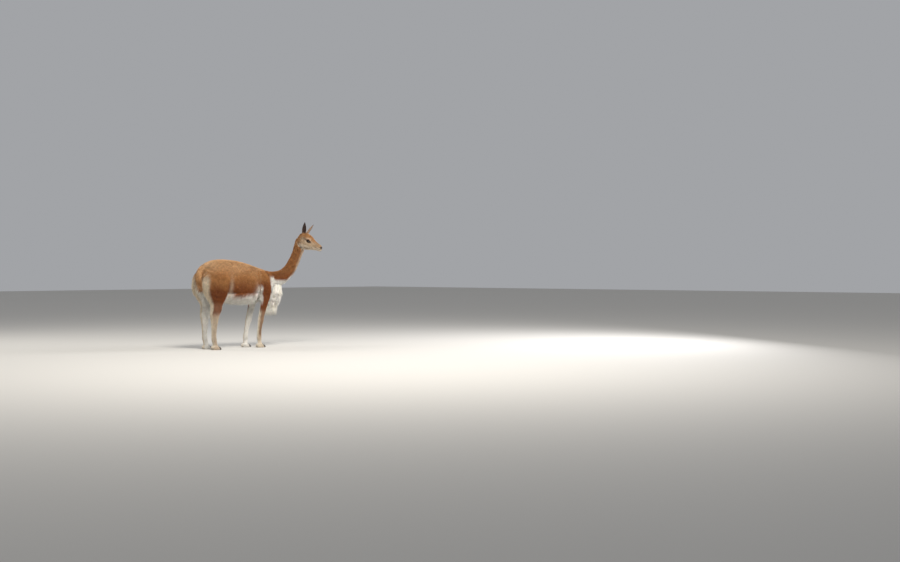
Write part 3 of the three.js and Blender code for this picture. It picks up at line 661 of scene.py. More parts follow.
# Each form's rectangle in the unwrap: [from u, to u, from v, to v]
SHEET = {
    "trunk": (0.01, 0.55, 0.01, 0.40), "neck": (0.56, 0.80, 0.01, 0.30), "head": (0.56, 0.80, 0.31, 0.56),
    "tail": (0.82, 0.98, 0.01, 0.14), "bib": (0.82, 0.98, 0.16, 0.36), "hind left": (0.01, 0.22, 0.42, 0.98),
    "hind right": (0.23, 0.44, 0.42, 0.98), "fore left": (0.45, 0.54, 0.42, 0.98),
    "fore right": (0.82, 0.98, 0.38, 0.98), "ear left": (0.56, 0.67, 0.60, 0.98),
    "ear right": (0.69, 0.80, 0.60, 0.98),
}
BACK_AND_DOWN = unit(np.array([-1, 0, -0.55]))


def sampled(name):
    """Points of a form's surface in the animal's frame, the lie there, and their place in the unwrap."""
    if name.startswith("ear"):
        word = name.split()[1]
        along = np.repeat(np.linspace(0, 1, EAR_SAMPLES), EAR_SAMPLES)
        share = np.tile(np.linspace(-1, 1, EAR_SAMPLES), EAR_SAMPLES)
        inner = np.tile(np.arange(EAR_SAMPLES) % 2 == 0, EAR_SAMPLES)
        p = ear_place(word, ear_point(along, share, inner))
        lie = np.broadcast_to(ear_axes(word)[:, 2], p.shape)
        return p, lie, along, (share + 1) / 4 + 0.5 * inner
    rows, sides = SAMPLES.get(name, FEWER_SAMPLES)
    t = np.repeat((np.arange(rows) + 0.5) / rows, sides)
    angle = np.tile(np.arange(sides) / sides * TAU, rows)
    p = LOFTS[name].point(t, angle)
    along = LOFTS[name].way(t, angle)
    if name == "head":
        p = from_head(p)
        lie = -along @ HEAD_AXES.T
    elif name == "neck":
        lie = -along
    elif name == "trunk":
        lie = np.broadcast_to(BACK_AND_DOWN, p.shape)
    else:
        lie = along
    return p, lie, t, angle / TAU


cloud = []
for number, name in enumerate(FORMS):
    p, lie, t, share = sampled(name)
    u0, u1, v0, v1 = SHEET[name]
    sheet = np.stack([u0 + (u1 - u0) * share, v0 + (v1 - v0) * t], 1)
    cloud.append((p, lie, sheet, np.full(len(p), number), share * TAU))
cloud_at, cloud_lie, cloud_sheet, cloud_form, cloud_turn = [np.concatenate(kind) for kind in zip(*cloud)]
tree = KDTree(len(cloud_at))
for i, p in enumerate(cloud_at):
    tree.insert(p, i)
tree.balance()


def belonging(p):
    """For points in the animal's frame: the nearest sample and the lie, eased over the samples around it."""
    nearest = np.empty(len(p), int)
    lie = np.empty((len(p), 3))
    for i, at in enumerate(p):
        found = tree.find_n(at, 8)
        index = [f[1] for f in found]
        weight = np.array([1 / (f[2] + 8) for f in found])
        nearest[i] = index[0]
        lie[i] = weight @ cloud_lie[index]
    return nearest, unit(lie)


# Markings, with painted light on the top of the body and painted shade low on it and in the ear hollows. The
# limits in each step are millimetres in the animal's frame, or parts of a unit normal
def srgb(r, g, b):
    """Linear red, green and blue for a colour in 0 to 255."""
    c = np.array([r, g, b]) / 255
    return np.where(c < 0.04045, c / 12.92, ((c + 0.055) / 1.055) ** 2.4)


# The back and rump colours are lighter than the side's as painted light on the top of the body; the red-brown
# and the dark brown are partly the coat's own colour and partly painted shade low on the flank, neck base,
# shoulder and thigh, and the dark brown also marks the hind shank's wedge.
BACK = srgb(214, 170, 124)
RUMP = srgb(222, 186, 146)
SIDE = srgb(184, 130, 80)
RED_BROWN_AND_SHADE = srgb(142, 82, 44)
DARK_BROWN_AND_SHADE = srgb(134, 76, 40)
NECK_FAWN = srgb(164, 112, 68)
WHITE = srgb(242, 238, 230)
CREAM = srgb(230, 214, 190)
PALE_LEG = srgb(226, 212, 190)
LEG_BROWN = srgb(150, 106, 70)
TAIL_BROWN = srgb(176, 128, 84)
CHEEK = srgb(190, 166, 138)
JAW = srgb(226, 212, 192)
CROWN = srgb(172, 126, 82)
MUZZLE = srgb(158, 128, 96)
NOSE = srgb(52, 42, 38)
EAR_BACK = srgb(158, 132, 112)
# The ear's dark colour: its tip and skin, and painted shade in the hollow
EAR_DARK_AND_SHADE = srgb(66, 50, 44)
EYE_LINE = srgb(58, 40, 28)
EYE_BAND = srgb(78, 50, 32)


COLOUR_LIMITS = (0.004, 0.95)
Spots = namedtuple("Spots", "at out spread turn word")


def base_colour(spots):
    """Where neck and breast meet: red-brown low down, partly painted shade, fawn above."""
    return mix(RED_BROWN_AND_SHADE, NECK_FAWN, step(spots.at[:, 2] + spots.spread, 590, 720))


def trunk_colour(spots):
    """Lighter cinnamon on the back and rump as painted light, over a red-brown flank that is partly the
    coat's own colour and partly painted shade lower down, with white belly, armpit and breast and a pale fold
    at the thigh.
    """
    x, y, z = spots.at.T
    ragged = z + spots.spread
    flank = step(np.abs(y), 60, 100)
    # Painted light on the back and rump, painted shade in the red-brown low on the flank
    return layers(
        mix(SIDE, BACK, step(ragged, 620, 740)),
        (RUMP, step(-x, 180, 320) * step(z, 700, 770)),
        (RED_BROWN_AND_SHADE, 1 - step(ragged, 520, 650)),
        (WHITE, (1 - step(z + 0.6 * spots.spread, 470, 508)) * step(-spots.out[:, 2], -0.1, 0.4)),
        (WHITE, 0.9 * bell(x, 214, 34) * bell(z, 476, 76) * flank),
        (CREAM, 0.5 * bell(x, -92, 20) * bell(z, 540, 90) * flank),
        (base_colour(spots), step(x + spots.spread, 330, 400)),
        (WHITE, step(x, 350, 392) * (1 - step(z + 0.4 * spots.spread, 618, 650))),
    )


def neck_colour(spots):
    """Fawn, redder and darker at its base, partly painted shade, paler down the throat."""
    x, _, z = spots.at.T
    ahead = -np.sin(spots.turn)
    return layers(
        base_colour(spots),
        (CROWN, step(z + spots.spread, 850, 960)),
        (CREAM, 0.6 * step(ahead, 0.5, 0.92) * step(z, 620, 740)),
        (WHITE, step(ahead, 0.55, 0.9) * (1 - step(z, 640, 700))),
        (WHITE, (1 - step(z + 0.3 * spots.spread, 596, 624)) * (1 - step(x, 540, 580))),
    )


def hind_colour(spots):
    """Dark thigh, lighter on top as painted light and darker lower down, partly painted shade, with pale
    edges and inner side, over a pale shank with a brown wedge on its outer side.
    """
    z = spots.at[:, 2]
    ragged = z + spots.spread
    ahead, outer = spots.out[:, 0], spots.out[:, 1] * SIDES[spots.word]
    rear = step(-ahead, 0.42, 0.78) * (1 - step(z, 600, 715))
    front = 0.75 * step(ahead, 0.5, 0.85) * (1 - step(z, 660, 720))
    # Lighter on the thigh's top as painted light, darker lower down, partly painted shade
    thigh = layers(
        mix(SIDE, DARK_BROWN_AND_SHADE, step(620 - z + spots.spread, 0, 120)),
        (BACK, step(ragged, 640, 730)),
        (CREAM, np.maximum(rear, front)),
        (WHITE, step(-outer, 0.3, 0.7) * (1 - step(z, 560, 680))),
    )
    wedge = step(outer - 0.5 * np.abs(ahead), 0.1, 0.55) * step(ragged, 250, 330)
    return layers(
        mix(PALE_LEG, DARK_BROWN_AND_SHADE, 0.9 * wedge),
        (LEG_BROWN, 0.3 * step(outer, 0.5, 0.9) * (1 - wedge)),
        (WHITE, step(-outer, 0.1, 0.5)),
        (thigh, step(ragged, 360, 440)),
    )


def fore_colour(spots):
    """Brown shoulder and outer side, darker red-brown low on the shoulder, partly painted shade, white inside
    and behind the elbow.
    """
    x, _, z = spots.at.T
    ragged = z + spots.spread
    ahead, outer = spots.out[:, 0], spots.out[:, 1] * SIDES[spots.word]
    behind = np.maximum(step(-ahead, 0.45, 0.8), 1 - step(x, 236, 252))
    elbow = behind * (1 - step(z, 540, 590)) * step(z, 380, 440)
    # Darker red-brown low on the shoulder, partly painted shade
    shoulder = mix(mix(RED_BROWN_AND_SHADE, SIDE, step(ragged, 560, 660)), WHITE, elbow)
    stripe = step(outer - 0.3 * np.abs(ahead), 0.2, 0.8) * step(z, 60, 140)
    shin = mix(PALE_LEG, LEG_BROWN, 0.8 * stripe)
    return layers(shin, (shoulder, step(ragged, 290, 390)), (WHITE, step(-outer, -0.2, 0.15)))


def bib_colour(spots):
    """White with a little cream in wide patches."""
    return mix(WHITE, CREAM, 0.25 * step(waves(spots.at, 70, 9), 0.1, 0.8))


def tail_colour(spots):
    """Brown down its outer face, pale at the edges."""
    z = spots.at[:, 2]
    edge = step(np.abs(spots.out[:, 1]), 0.45, 0.85)
    return mix(mix(TAIL_BROWN, BACK, step(z, 640, 720)), CREAM, 0.7 * edge * (1 - step(z, 600, 670)))


def from_eye(own, long):
    """The distance of the head's points from the eye in side view, its length divided by long."""
    return np.linalg.norm((own - (EYE_AT[0], 0, EYE_AT[2]))[:, [0, 2]] / (long, 1), axis=1)


def head_colour(spots):
    """Fawn crown, pale jaw and lip, dark nose and mouth, and a dark band through the eye."""
    own = to_head(spots.at)
    x, y, z = own.T
    away = from_eye(own, 1.35)
    sideways = step(np.abs(y), 26, 34)
    return layers(
        mix(CHEEK, CROWN, step(z + 0.12 * x, 18, 52)),
        (JAW, 1 - step(z - 0.06 * x, -62, -22)),
        (CROWN, (1 - step(x, 8, 44)) * step(z, -70, -20)),
        (MUZZLE, 0.8 * step(x, 140, 205) * step(z, -26, 0)),
        (JAW, 0.85 * bell(z, -26, 9) * step(x, 165, 205)),
        (NOSE, step(x, 212, 226) * bell(z, -4, 13, 4)),
        (NOSE, 0.8 * bell(z, -22.5, 2.6) * step(x, 150, 175)),
        (JAW, 0.3 * bell(away, 22, 6) * sideways),
        (EYE_BAND, 0.9 * bell(x, 98, 42, 4) * bell(z + 0.2 * (x - 97), 13, 10) * sideways),
        (EYE_LINE, (1 - step(away, 12, 16.5)) * sideways),
    )


def ear_colour(spots):
    """Pale behind, dark at the tip, and dark in the hollow, partly its skin and partly painted shade."""
    axes = ear_axes(spots.word)
    along = ((spots.at - ear_origin(spots.word)) @ axes)[:, 2]
    # Dark in the hollow, partly its skin and partly painted shade
    ear = mix(EAR_BACK, EAR_DARK_AND_SHADE, step(spots.out @ axes[:, 0], 0.0, 0.5))
    return layers(
        CROWN, (ear, step(along, 2, 22)), (EAR_DARK_AND_SHADE, step(along, 0.80 * EAR_LENGTH, EAR_LENGTH))
    )


COLOURS = {"trunk": trunk_colour, "neck": neck_colour, "head": head_colour, "tail": tail_colour,
           "bib": bib_colour, "hind": hind_colour, "fore": fore_colour, "ear": ear_colour}


def markings_and_painted_light(at, out, form, turn):
    """The coat's colour at points of the animal's frame, its painted light and shade included: linear red,
    green and blue.
    """
    spread = waves(at, 150, 3) * 16
    colour = np.empty((len(at), 3))
    for number, name in enumerate(FORMS):
        on = form == number
        kind, _, word = name.partition(" ")
        colour[on] = COLOURS[kind](Spots(at[on], out[on], spread[on], turn[on], word))
    return np.clip(colour, *COLOUR_LIMITS)


def paint(obj, colours):
    """A colour for every vertex of obj, painted light and shade included, in the colour attribute that the
    coat's material reads.
    """
    layer = obj.data.color_attributes.new("markings_and_painted_light", "FLOAT_COLOR", "POINT")
    rgba = np.ones((len(obj.data.vertices), 4), np.float32)
    rgba[:, :3] = colours
    layer.data.foreach_set("color", rgba.ravel())


skin_at = points_of(skin)
flat = np.empty(len(skin_at) * 3, np.float32)
skin.data.vertex_normals.foreach_get("vector", flat)
skin_out = flat.reshape(-1, 3).astype(float)
skin_nearest, skin_lie = belonging(skin_at)
skin_form = cloud_form[skin_nearest]
skin_colour = markings_and_painted_light(skin_at, skin_out, skin_form, cloud_turn[skin_nearest])
# The skin under the coat darkened as painted shade
paint(skin, skin_colour * 0.8)


# The coat: tufts for each square centimetre, their sizes, their stations and how far their tips gather
Coat = namedtuple("Coat", "density length width lift stations gather")
COAT = {
    "fleece": Coat(8.8, 23, 3.5, 0.52, 3, 0.48),
    "belly": Coat(6.0, 54, 4.8, 0.46, 4, 0.40),
    "neck": Coat(10.8, 18, 3.0, 0.52, 3, 0.42),
    "leg": Coat(10.5, 12, 2.6, 0.34, 3, 0.12),
    "foot": Coat(13, 8, 2.0, 0.26, 3, 0.05),
    "face": Coat(19, 8, 1.7, 0.24, 3, 0.06),
    "cheek": Coat(14, 13, 2.2, 0.34, 3, 0.15),
    "ear": Coat(22, 7, 1.5, 0.22, 3, 0.05),
    "bib": Coat(6.0, 118, 6.0, 0.20, 5, 0.34),
    "tail": Coat(8.5, 96, 5.2, 0.09, 5, 0.22),
}
ZONES = list(COAT)
BARE = -1
BELLY_HANG = np.array([4.0, 0, -24])
MOST_TRIANGLES = 190000
# Half of a tuft's patch in the unwrap, how deep its root sits, its shades (darker at the root as painted
# shade down in the coat, lighter at the tip) and its curl
PATCH = 0.0015
ROOT_DEPTH = 0.9
ROOT_PAINTED_SHADE = 0.76
TIP_SHADE = 1.10
CURL = 0.05


def zones(p, out, form):
    """Which of ZONES each point is in, or BARE; where two hold, the later one counts."""
    x, z = p[:, 0], p[:, 2]
    name = np.array(FORMS)[form]
    is_leg = np.isin(name, list(legs))
    shank = is_leg & (z < np.where(x < 0, 390, 420))
    on_head = name == "head"
    own = to_head(p)
    along, high = own[:, 0], own[:, 2]
    rules = [
        ("belly", (z < 500) & (out[:, 2] < -0.25) & (x > -150) & (x < 300) & ~is_leg),
        ("neck", name == "neck"),
        ("leg", shank),
        ("foot", shank & (z < 75)),
        ("face", on_head),
        ("cheek", on_head & ((along < 66) | ((along < 130) & (high < -40)))),
        ("ear", np.char.startswith(name, "ear")),
        ("bib", (name == "bib") & (z < 612)),
        ("bib", (name == "trunk") & (x > 400) & (z < 560)),
        ("tail", name == "tail"),
    ]
    zone = np.full(len(p), ZONES.index("fleece"))
    for zone_name, there in rules:
        zone[there] = ZONES.index(zone_name)
    nose = on_head & (along > 0.945 * HEAD_LENGTH) & (np.abs(high + 6) < 15)
    slit = on_head & (along > 160) & (np.abs(high + 22.5) < 2.6)
    near_eye = np.linalg.norm(np.abs(own) - EYE_AT, axis=1) < EYE_RADIUS + 3.4
    zone[nose | slit | (near_eye & (from_eye(own, 1.5) < 12.5))] = BARE
    zone[z < 9] = BARE
    return zone


def roots():
    """Seeded points all over the skin, thicker where the coat is finer."""
    mesh = skin.data
    mesh.calc_loop_triangles()
    tris = np.empty(len(mesh.loop_triangles) * 3, np.int32)
    mesh.loop_triangles.foreach_get("vertices", tris)
    tris = tris.reshape(-1, 3)
    a, b, c = skin_at[tris[:, 0]], skin_at[tris[:, 1]], skin_at[tris[:, 2]]
    area = np.linalg.norm(np.cross(b - a, c - a), axis=1) / 2
    zone = zones(skin_at, skin_out, skin_form)[tris[:, 0]]
    density = np.array([COAT[z].density for z in ZONES] + [0.0])[zone] / 100
    total = np.concatenate([[0], np.cumsum(area * density)])
    marks = np.arange(int(total[-1])) + rng.uniform(0, 1, int(total[-1]))
    chosen = np.clip(np.searchsorted(total, marks) - 1, 0, len(tris) - 1)
    u, v = rng.uniform(0, 1, (2, len(chosen)))
    over = u + v > 1
    u[over], v[over] = 1 - u[over], 1 - v[over]
    w = np.stack([1 - u - v, u, v], 1)
    corner = tris[chosen]
    at = np.einsum("nk,nkd->nd", w, skin_at[corner])
    out = unit(np.einsum("nk,nkd->nd", w, skin_out[corner]))
    lie = np.einsum("nk,nkd->nd", w, skin_lie[corner])
    return at, out, lie, skin_nearest[corner[:, 0]], zone[chosen]


def tuft_mesh(name, root, out, way, length, width, lift, drift, pull, colour, sheet, stations):
    """One mesh of three-sided tapering tufts, each a bent spike closed at both ends."""
    count = len(root)
    side = np.cross(way, out)
    corners = np.array([90, 210, 330]) * math.pi / 180
    wave = rng.uniform(*PHASES, count)
    places, shades, sheets = [], [], []
    for u in np.linspace(0, 1, stations):
        high = length * lift * (u - 0.5 * u * u) - (ROOT_DEPTH if u == 0 else 0)
        curl = CURL * length * np.sin(wave + 5.5 * u) * u
        centre = root + way * (length * u)[:, None] + out * high[:, None]
        centre = centre + side * (drift * length * u * u + curl)[:, None] + pull * (u * u)
        taper = width / 2 * (1 - u) ** 0.6 * (1.0 if u else 0.8)
        for angle in corners if u < 1 else corners[:1]:
            across = side * (np.cos(angle) * taper)[:, None]
            places.append(centre + across + out * (0.6 * np.sin(angle) * taper)[:, None])
            # Darker at the root as painted shade down in the coat, lighter towards the tip
            shades.append(colour * (ROOT_PAINTED_SHADE + (TIP_SHADE - ROOT_PAINTED_SHADE) * u))
            sheets.append(sheet + PATCH * np.array([math.cos(angle) * (1 - u), u * 2 - 1]))
    per = len(places)
    p = np.stack(places, 1).reshape(-1, 3)
    p[:, 2] = np.maximum(p[:, 2], 0.5)
    faces = [(0, 2, 1)]
    for i in range(stations - 2):
        for j in range(3):
            a, b = i * 3 + j, i * 3 + (j + 1) % 3
            faces += [(a, b, b + 3), (a, b + 3, a + 3)]
    for j in range(3):
        a = (stations - 2) * 3
        faces.append((a + j, a + (j + 1) % 3, per - 1))
    index = (np.array(faces)[None] + (np.arange(count) * per)[:, None, None]).reshape(-1)
    mesh = bpy.data.meshes.new(name)
    mesh.vertices.add(len(p))
    mesh.vertices.foreach_set("co", place(p).astype(np.float32).ravel())
    mesh.loops.add(len(index))
    mesh.loops.foreach_set("vertex_index", index.astype(np.int32))
    mesh.polygons.add(len(index) // 3)
    mesh.polygons.foreach_set("loop_start", np.arange(0, len(index), 3, dtype=np.int32))
    mesh.polygons.foreach_set("use_smooth", [True] * (len(index) // 3))
    mesh.update(calc_edges=True)
    made = add_object(name, mesh)
    paint(made, np.clip(np.stack(shades, 1).reshape(-1, 3), 0.003, 0.98))
    unwrap = mesh.uv_layers.new(name="OFBake")
    flat_sheet = np.stack(sheets, 1).reshape(-1, 2)[index]
    unwrap.data.foreach_set("uv", flat_sheet.astype(np.float32).ravel())
    return made


def coat_way(zone_name, out, lie):
    """The way that tufts lie on the skin and the way that their backs face."""
    if zone_name == "bib":
        way = unit(np.array([-0.27, 0, -1.0]) + 0.10 * out)
        return way, unit(beside(unit(out * (1, 1, 0.15)), way))
    way = lie
    if zone_name == "belly":
        way = np.broadcast_to(np.array([-0.8, 0, -0.42]), out.shape)
    if zone_name == "tail":
        way = lie + np.array([0.12, 0, -0.7])
    return unit(beside(way, out)), out


def coat_lengths(zone_name, at, out, form, size):
    """Each tuft's length: its zone's own, less towards some edges."""
    z = at[:, 2]
    lengths = COAT[zone_name].length * size
    if zone_name == "bib":
        drop = z - BIB_TIP
        return np.where(drop < 200, drop * rng.uniform(0.72, 1.0, len(at)), lengths)
    if zone_name == "fleece":
        on_leg = form >= FORMS.index("hind left")
        return lengths * np.where(on_leg, 0.5 + 0.5 * step(z, 400, 560), 1)
    if zone_name == "leg":
        return lengths * (1 + 0.7 * step(z, 310, 400))
    if zone_name == "tail":
        return lengths * (0.35 + 0.65 * step(z, 720, 660))
    if zone_name == "belly":
        return lengths * (0.5 + 0.5 * step(-out[:, 2], 0.25, 0.75))
    if zone_name == "face":
        own = to_head(at)
        close = np.linalg.norm(np.abs(own) - EYE_AT, axis=1)
        return lengths * (1 - 0.45 * step(own[:, 0], 120, 215)) * (0.55 + 0.45 * step(close, 20, 34))
    return lengths


def gathered(at, out, way, lengths, zone):
    """How far each tip is drawn to the tip of a chosen tuft near it, so that the coat falls in locks."""
    centres = rng.choice(len(at), max(4, len(at) // 14), replace=False)
    near = KDTree(len(centres))
    for k, index in enumerate(centres):
        near.insert(at[index], k)
    near.balance()
    home = centres[[near.find(q)[1] for q in at]]
    target = at[home] + way[home] * lengths[home][:, None]
    tip = at + way * lengths[:, None]
    pull = beside((target - tip) * zone.gather, out)
    reach = np.linalg.norm(pull, axis=1, keepdims=True)
    return pull * np.minimum(1, 0.5 * zone.length / np.maximum(reach, 1e-6))


def coat_piece(name, zone_name, at, out, lie, nearest):
    """The tufts of one zone that stand at these roots."""
    zone = COAT[zone_name]
    count = len(at)
    form = cloud_form[nearest]
    way, facing = coat_way(zone_name, out, lie)
    swirl = np.radians(14) * waves(at, 55, 5) + np.radians(7) * rng.normal(size=count)
    if zone_name in ("bib", "belly"):
        swirl = swirl * 0.45
    side = np.cross(way, facing)
    way = way * np.cos(swirl)[:, None] + side * np.sin(swirl)[:, None]
    size = rng.uniform(0.78, 1.15, count) * (1 + 0.14 * waves(at, 48, 6))
    lengths = coat_lengths(zone_name, at, out, form, size)
    lifts = zone.lift * rng.uniform(0.7, 1.25, count)
    drift = 0.10 * rng.normal(size=count)
    pull = gathered(at, out, way, lengths, zone)
    if zone_name == "belly":
        pull = pull + BELLY_HANG * (size * step(-out[:, 2], 0.1, 0.7))[:, None]
    tone = 1 + 0.09 * waves(at, 32, 7) + 0.08 * rng.normal(size=count)
    warm = 1 + 0.03 * rng.normal(size=(count, 3))
    colour = markings_and_painted_light(at, out, form, cloud_turn[nearest]) * tone[:, None] * warm
    widths = zone.width * rng.uniform(0.8, 1.2, count)
    sheet = cloud_sheet[nearest]
    return tuft_mesh(name, at, facing, way, lengths, widths, lifts, drift, pull, colour, sheet, zone.stations)


coat = []
*root_kinds, root_zone = roots()
for number, zone_name in enumerate(ZONES):
    chosen = np.nonzero(root_zone == number)[0]
    chosen = chosen[np.argsort(root_kinds[0][chosen, 0])]
    each = 6 * (COAT[zone_name].stations - 2) + 4
    pieces = math.ceil(len(chosen) * each / MOST_TRIANGLES)
    for k, share in enumerate(np.array_split(chosen, pieces), start=1):
        coat.append(coat_piece(f"coat_{zone_name}_{k}", zone_name, *[kind[share] for kind in root_kinds]))


LASHES = 34


def lashes():
    """A row of long lashes on each upper lid, sweeping out and down."""
    at, out, way = [], [], []
    for side in (-1, 1):
        turn = about("Z", side * EYE_TURN)
        for share in np.linspace(0.12, 0.9, LASHES):
            x, z = lid_edge(share, EYE_SLIT[1])
            reach = math.sqrt((EYE_RADIUS + LID) ** 2 - x * x - z * z)
            spot = np.array([x, side * reach, z + 0.6]) @ turn.T
            at.append(spot + eye_centre(side))
            out.append(turn @ np.array([0, 0.3 * side, 1.0]))
            way.append(turn @ np.array([0.25 + 0.5 * (share - 0.5), side, -0.42]))
    at = from_head(np.array(at))
    out = unit(np.array(out)) @ HEAD_AXES.T
    way = unit(np.array(way)) @ HEAD_AXES.T
    out = unit(beside(out, way))
    count = len(at)
    return tuft_mesh(
        "coat_lash_1", at, out, way, rng.uniform(11, 16, count), np.full(count, 0.9), np.full(count, -0.25),
        0.06 * rng.normal(size=count), np.zeros((count, 3)), np.tile(EYE_LINE * 0.5, (count, 1)),
        cloud_sheet[belonging(at)[0]], 4,
    )


coat.append(lashes())


# Materials
def new_material(name, surface):
    """A material with its links and its shader, on which the surface's values are set."""
    material = bpy.data.materials.new(name)
    material.use_nodes = True
    shader = material.node_tree.nodes["Principled BSDF"]
    for socket, value in surface.items():
        shader.inputs[socket].default_value = value
    return material, material.node_tree.links, shader


def new_node(material, kind, values=None):
    """A node of this kind with these values."""
    made = material.node_tree.nodes.new(kind)
    for socket, value in (values or {}).items():
        made.inputs[socket].default_value = value
    return made


def new_noise(material, scale, detail, source=None):
    """A noise over the places that source gives."""
    made = new_node(material, "ShaderNodeTexNoise", {"Scale": scale, "Detail": detail})
    if source:
        material.node_tree.links.new(source, made.inputs["Vector"])
    return made


def new_ramp(material, noise, dark, light):
    """The noise turned into colours from dark to light."""
    made = new_node(material, "ShaderNodeValToRGB")
    made.color_ramp.elements[0].color = (*dark, 1)
    made.color_ramp.elements[1].color = (*light, 1)
    material.node_tree.links.new(noise.outputs["Fac"], made.inputs["Fac"])
    return made


def add_relief(material, noise, shader, strength, distance):
    """The noise as a bump on the surface."""
    made = new_node(material, "ShaderNodeBump", {"Strength": strength, "Distance": distance})
    material.node_tree.links.new(noise.outputs["Fac"], made.inputs["Height"])
    material.node_tree.links.new(made.outputs["Normal"], shader.inputs["Normal"])


def coat_material(name, rough, grain, bump):
    """The markings with their painted light and shade, varied by a broad noise, with a fine grain along the
    fur.
    """
    material, links, shader = new_material(name, {
        "Roughness": rough, "Specular IOR Level": 0.18, "Sheen Weight": 0.03, "Sheen Roughness": 0.45,
    })
    marks = new_node(material, "ShaderNodeAttribute")
    marks.attribute_name = "markings_and_painted_light"
    spot = new_node(material, "ShaderNodeTexCoord").outputs["Object"]
    broad = new_noise(material, 26, 5, spot)
    fine = new_noise(material, grain, 4, spot)
    vary = new_node(material, "ShaderNodeMapRange", {"To Min": 0.86, "To Max": 1.16})
    links.new(broad.outputs["Fac"], vary.inputs["Value"])
    shade = new_node(material, "ShaderNodeHueSaturation")
    links.new(marks.outputs["Color"], shade.inputs["Color"])
    links.new(vary.outputs["Result"], shade.inputs["Value"])
    links.new(shade.outputs["Color"], shader.inputs["Base Color"])
    add_relief(material, fine, shader, bump, 0.0006)
    return material


def eye_material(centre, level, upright):
    """A dark brown iris round a wide level pupil, under a clear wet coat."""
    material, links, shader = new_material("eye_glass", {
        "Roughness": 0.12, "Coat Weight": 1.0, "Coat Roughness": 0.03, "IOR": 1.38,
    })
    spot = new_node(material, "ShaderNodeTexCoord").outputs["Object"]
    iris = new_ramp(material, new_noise(material, 900, 6, spot), srgb(26, 15, 9), srgb(52, 30, 17))
    away = new_node(material, "ShaderNodeVectorMath", {1: centre})
    away.operation = "SUBTRACT"
    links.new(spot, away.inputs[0])
    oval = new_node(material, "ShaderNodeCombineXYZ")
    for axis, way in (("X", 0.5 * level), ("Y", upright)):
        along = new_node(material, "ShaderNodeVectorMath", {1: way})
        along.operation = "DOT_PRODUCT"
        links.new(away.outputs["Vector"], along.inputs[0])
        links.new(along.outputs["Value"], oval.inputs[axis])
    size = new_node(material, "ShaderNodeVectorMath")
    size.operation = "LENGTH"
    links.new(oval.outputs["Vector"], size.inputs[0])
    pupil = new_node(material, "ShaderNodeMapRange", {"From Min": 0.0028, "From Max": 0.0038})
    links.new(size.outputs["Value"], pupil.inputs["Value"])
    blend = new_node(material, "ShaderNodeMix")
    blend.data_type = "RGBA"
    blend.inputs["A"].default_value = (0.003, 0.0025, 0.002, 1)
    links.new(pupil.outputs["Result"], blend.inputs["Factor"])
    links.new(iris.outputs["Color"], blend.inputs["B"])
    links.new(blend.outputs["Result"], shader.inputs["Base Color"])
    return material


def horn_material():
    """Dark horn, streaked along the nail."""
    material, links, shader = new_material("toe_horn", {"Roughness": 0.46})
    spot = new_node(material, "ShaderNodeTexCoord")
    stretch = new_node(material, "ShaderNodeMapping", {"Scale": (40, 260, 260)})
    links.new(spot.outputs["Object"], stretch.inputs["Vector"])
    streaks = new_noise(material, 1.4, 6, stretch.outputs["Vector"])
    ramp = new_ramp(material, streaks, srgb(30, 25, 22), srgb(86, 74, 64))
    links.new(ramp.outputs["Color"], shader.inputs["Base Color"])
    add_relief(material, streaks, shader, 0.35, 0.0004)
    return material


def floor_material():
    """Pale matt paint, a little uneven."""
    material, links, shader = new_material("floor_paint", {"Roughness": 0.9})
    ramp = new_ramp(material, new_noise(material, 3, 2), (0.60, 0.58, 0.54), (0.66, 0.64, 0.60))
    links.new(ramp.outputs["Color"], shader.inputs["Base Color"])
    return material


hide = coat_material("hide", 0.72, 1400, 0.5)
wool = coat_material("wool", 0.82, 900, 0.35)
skin.data.materials.clear()
skin.data.materials.append(hide)
skin.data.polygons.foreach_set("material_index", [0] * len(skin.data.polygons))
for piece in coat:
    piece.data.materials.append(wool)
horn = horn_material()
for nail, _ in nails:
    nail.data.materials.append(horn)
for eye, _, side in eyes:
    level = HEAD_AXES @ about("Z", side * EYE_TURN) @ np.array([1.0, 0, 0])
    upright = HEAD_AXES @ np.array([0, 0, 1.0])
    eye.data.materials.append(eye_material(place(from_head(eye_centre(side))), level, upright))

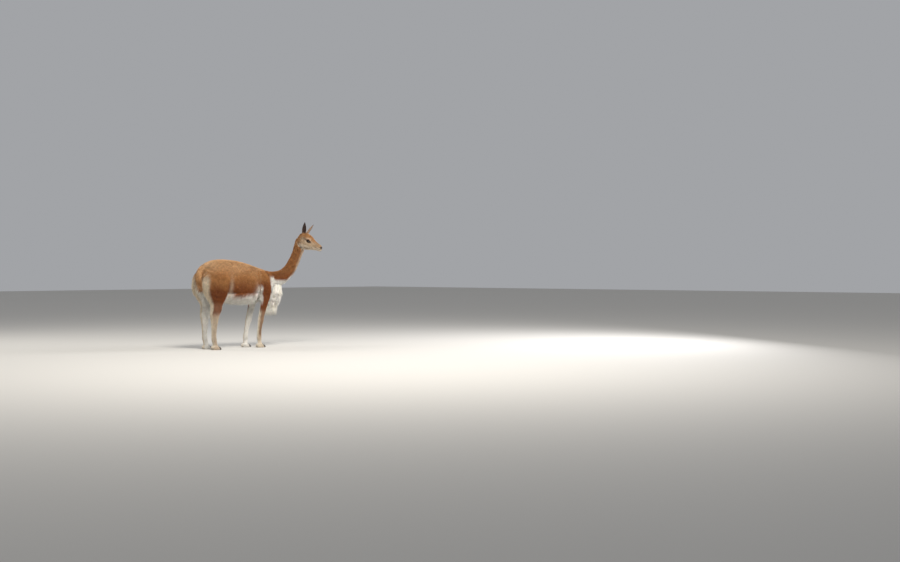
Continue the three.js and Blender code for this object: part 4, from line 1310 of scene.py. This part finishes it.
# What stands for which node
FLESH = ["torso", "chest", "neck_lower", "neck_upper", "head", "tail", "ear_left", "ear_right"]
for kind in ("hind_leg", "foreleg"):
    for word in SIDES:
        FLESH += [f"{kind}_{word}_upper", f"{kind}_{word}_lower"]
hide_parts(*FLESH)
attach(skin, "root")
for piece in coat:
    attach(piece, "root")
for nail, node in nails:
    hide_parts(node)
    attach(nail, "root")
for eye, node, _ in eyes:
    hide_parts(node)
    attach(eye, "root")

# Floor, light and camera
bpy.ops.mesh.primitive_plane_add(size=60, location=(0, 0, 0))
floor = bpy.context.object
floor.name = "floor"
floor.data.materials.append(floor_material())

world = bpy.data.worlds.new("studio")
bpy.context.scene.world = world
world.use_nodes = True
sky = world.node_tree.nodes["Background"]
sky.inputs["Color"].default_value = (0.86, 0.88, 0.92, 1)
sky.inputs["Strength"].default_value = 0.42
MIDDLE = (0, 0, 0.6)


def area_light(name, at, size, watts, colour):
    """A round light at a place in metres, turned to the animal's middle."""
    data = bpy.data.lights.new(name, "AREA")
    data.shape = "DISK"
    data.size = size
    data.energy = watts
    data.color = colour
    lamp = add_object(name, data)
    lamp.location = at
    lamp.rotation_euler = (Vector(MIDDLE) - Vector(at)).to_track_quat("-Z", "Y").to_euler()


area_light("key", (-1.4, -3.4, 4.6), 2.2, 290, (1.0, 0.96, 0.90))
area_light("side", (3.6, -2.4, 2.2), 2.4, 130, (0.97, 0.97, 1.0))
area_light("rear", (-2.6, 3.2, 3.2), 2.0, 60, (1.0, 0.98, 0.94))

# Camera: at eye level behind the animal's right side, looking past it so that it stands left of centre
VIEW_DISTANCE = 11.4
VIEW_HEIGHT = 0.70
VIEW_BEARING = math.radians(51.986)
VIEW_ASIDE = math.radians(8.854)
VIEW_DOWN = math.radians(0.5)
camera_data = bpy.data.cameras.new("camera")
camera_data.lens = 50
camera_data.sensor_width = 36
camera = add_object("camera", camera_data)
camera.location = (
    -VIEW_DISTANCE * math.cos(VIEW_BEARING), -VIEW_DISTANCE * math.sin(VIEW_BEARING), VIEW_HEIGHT
)
heading = VIEW_BEARING - VIEW_ASIDE
along = Vector((math.cos(heading), math.sin(heading), -math.tan(VIEW_DOWN)))
camera.rotation_euler = along.to_track_quat("-Z", "Y").to_euler()
bpy.context.scene.camera = camera
bpy.context.scene.view_settings.view_transform = "Standard"
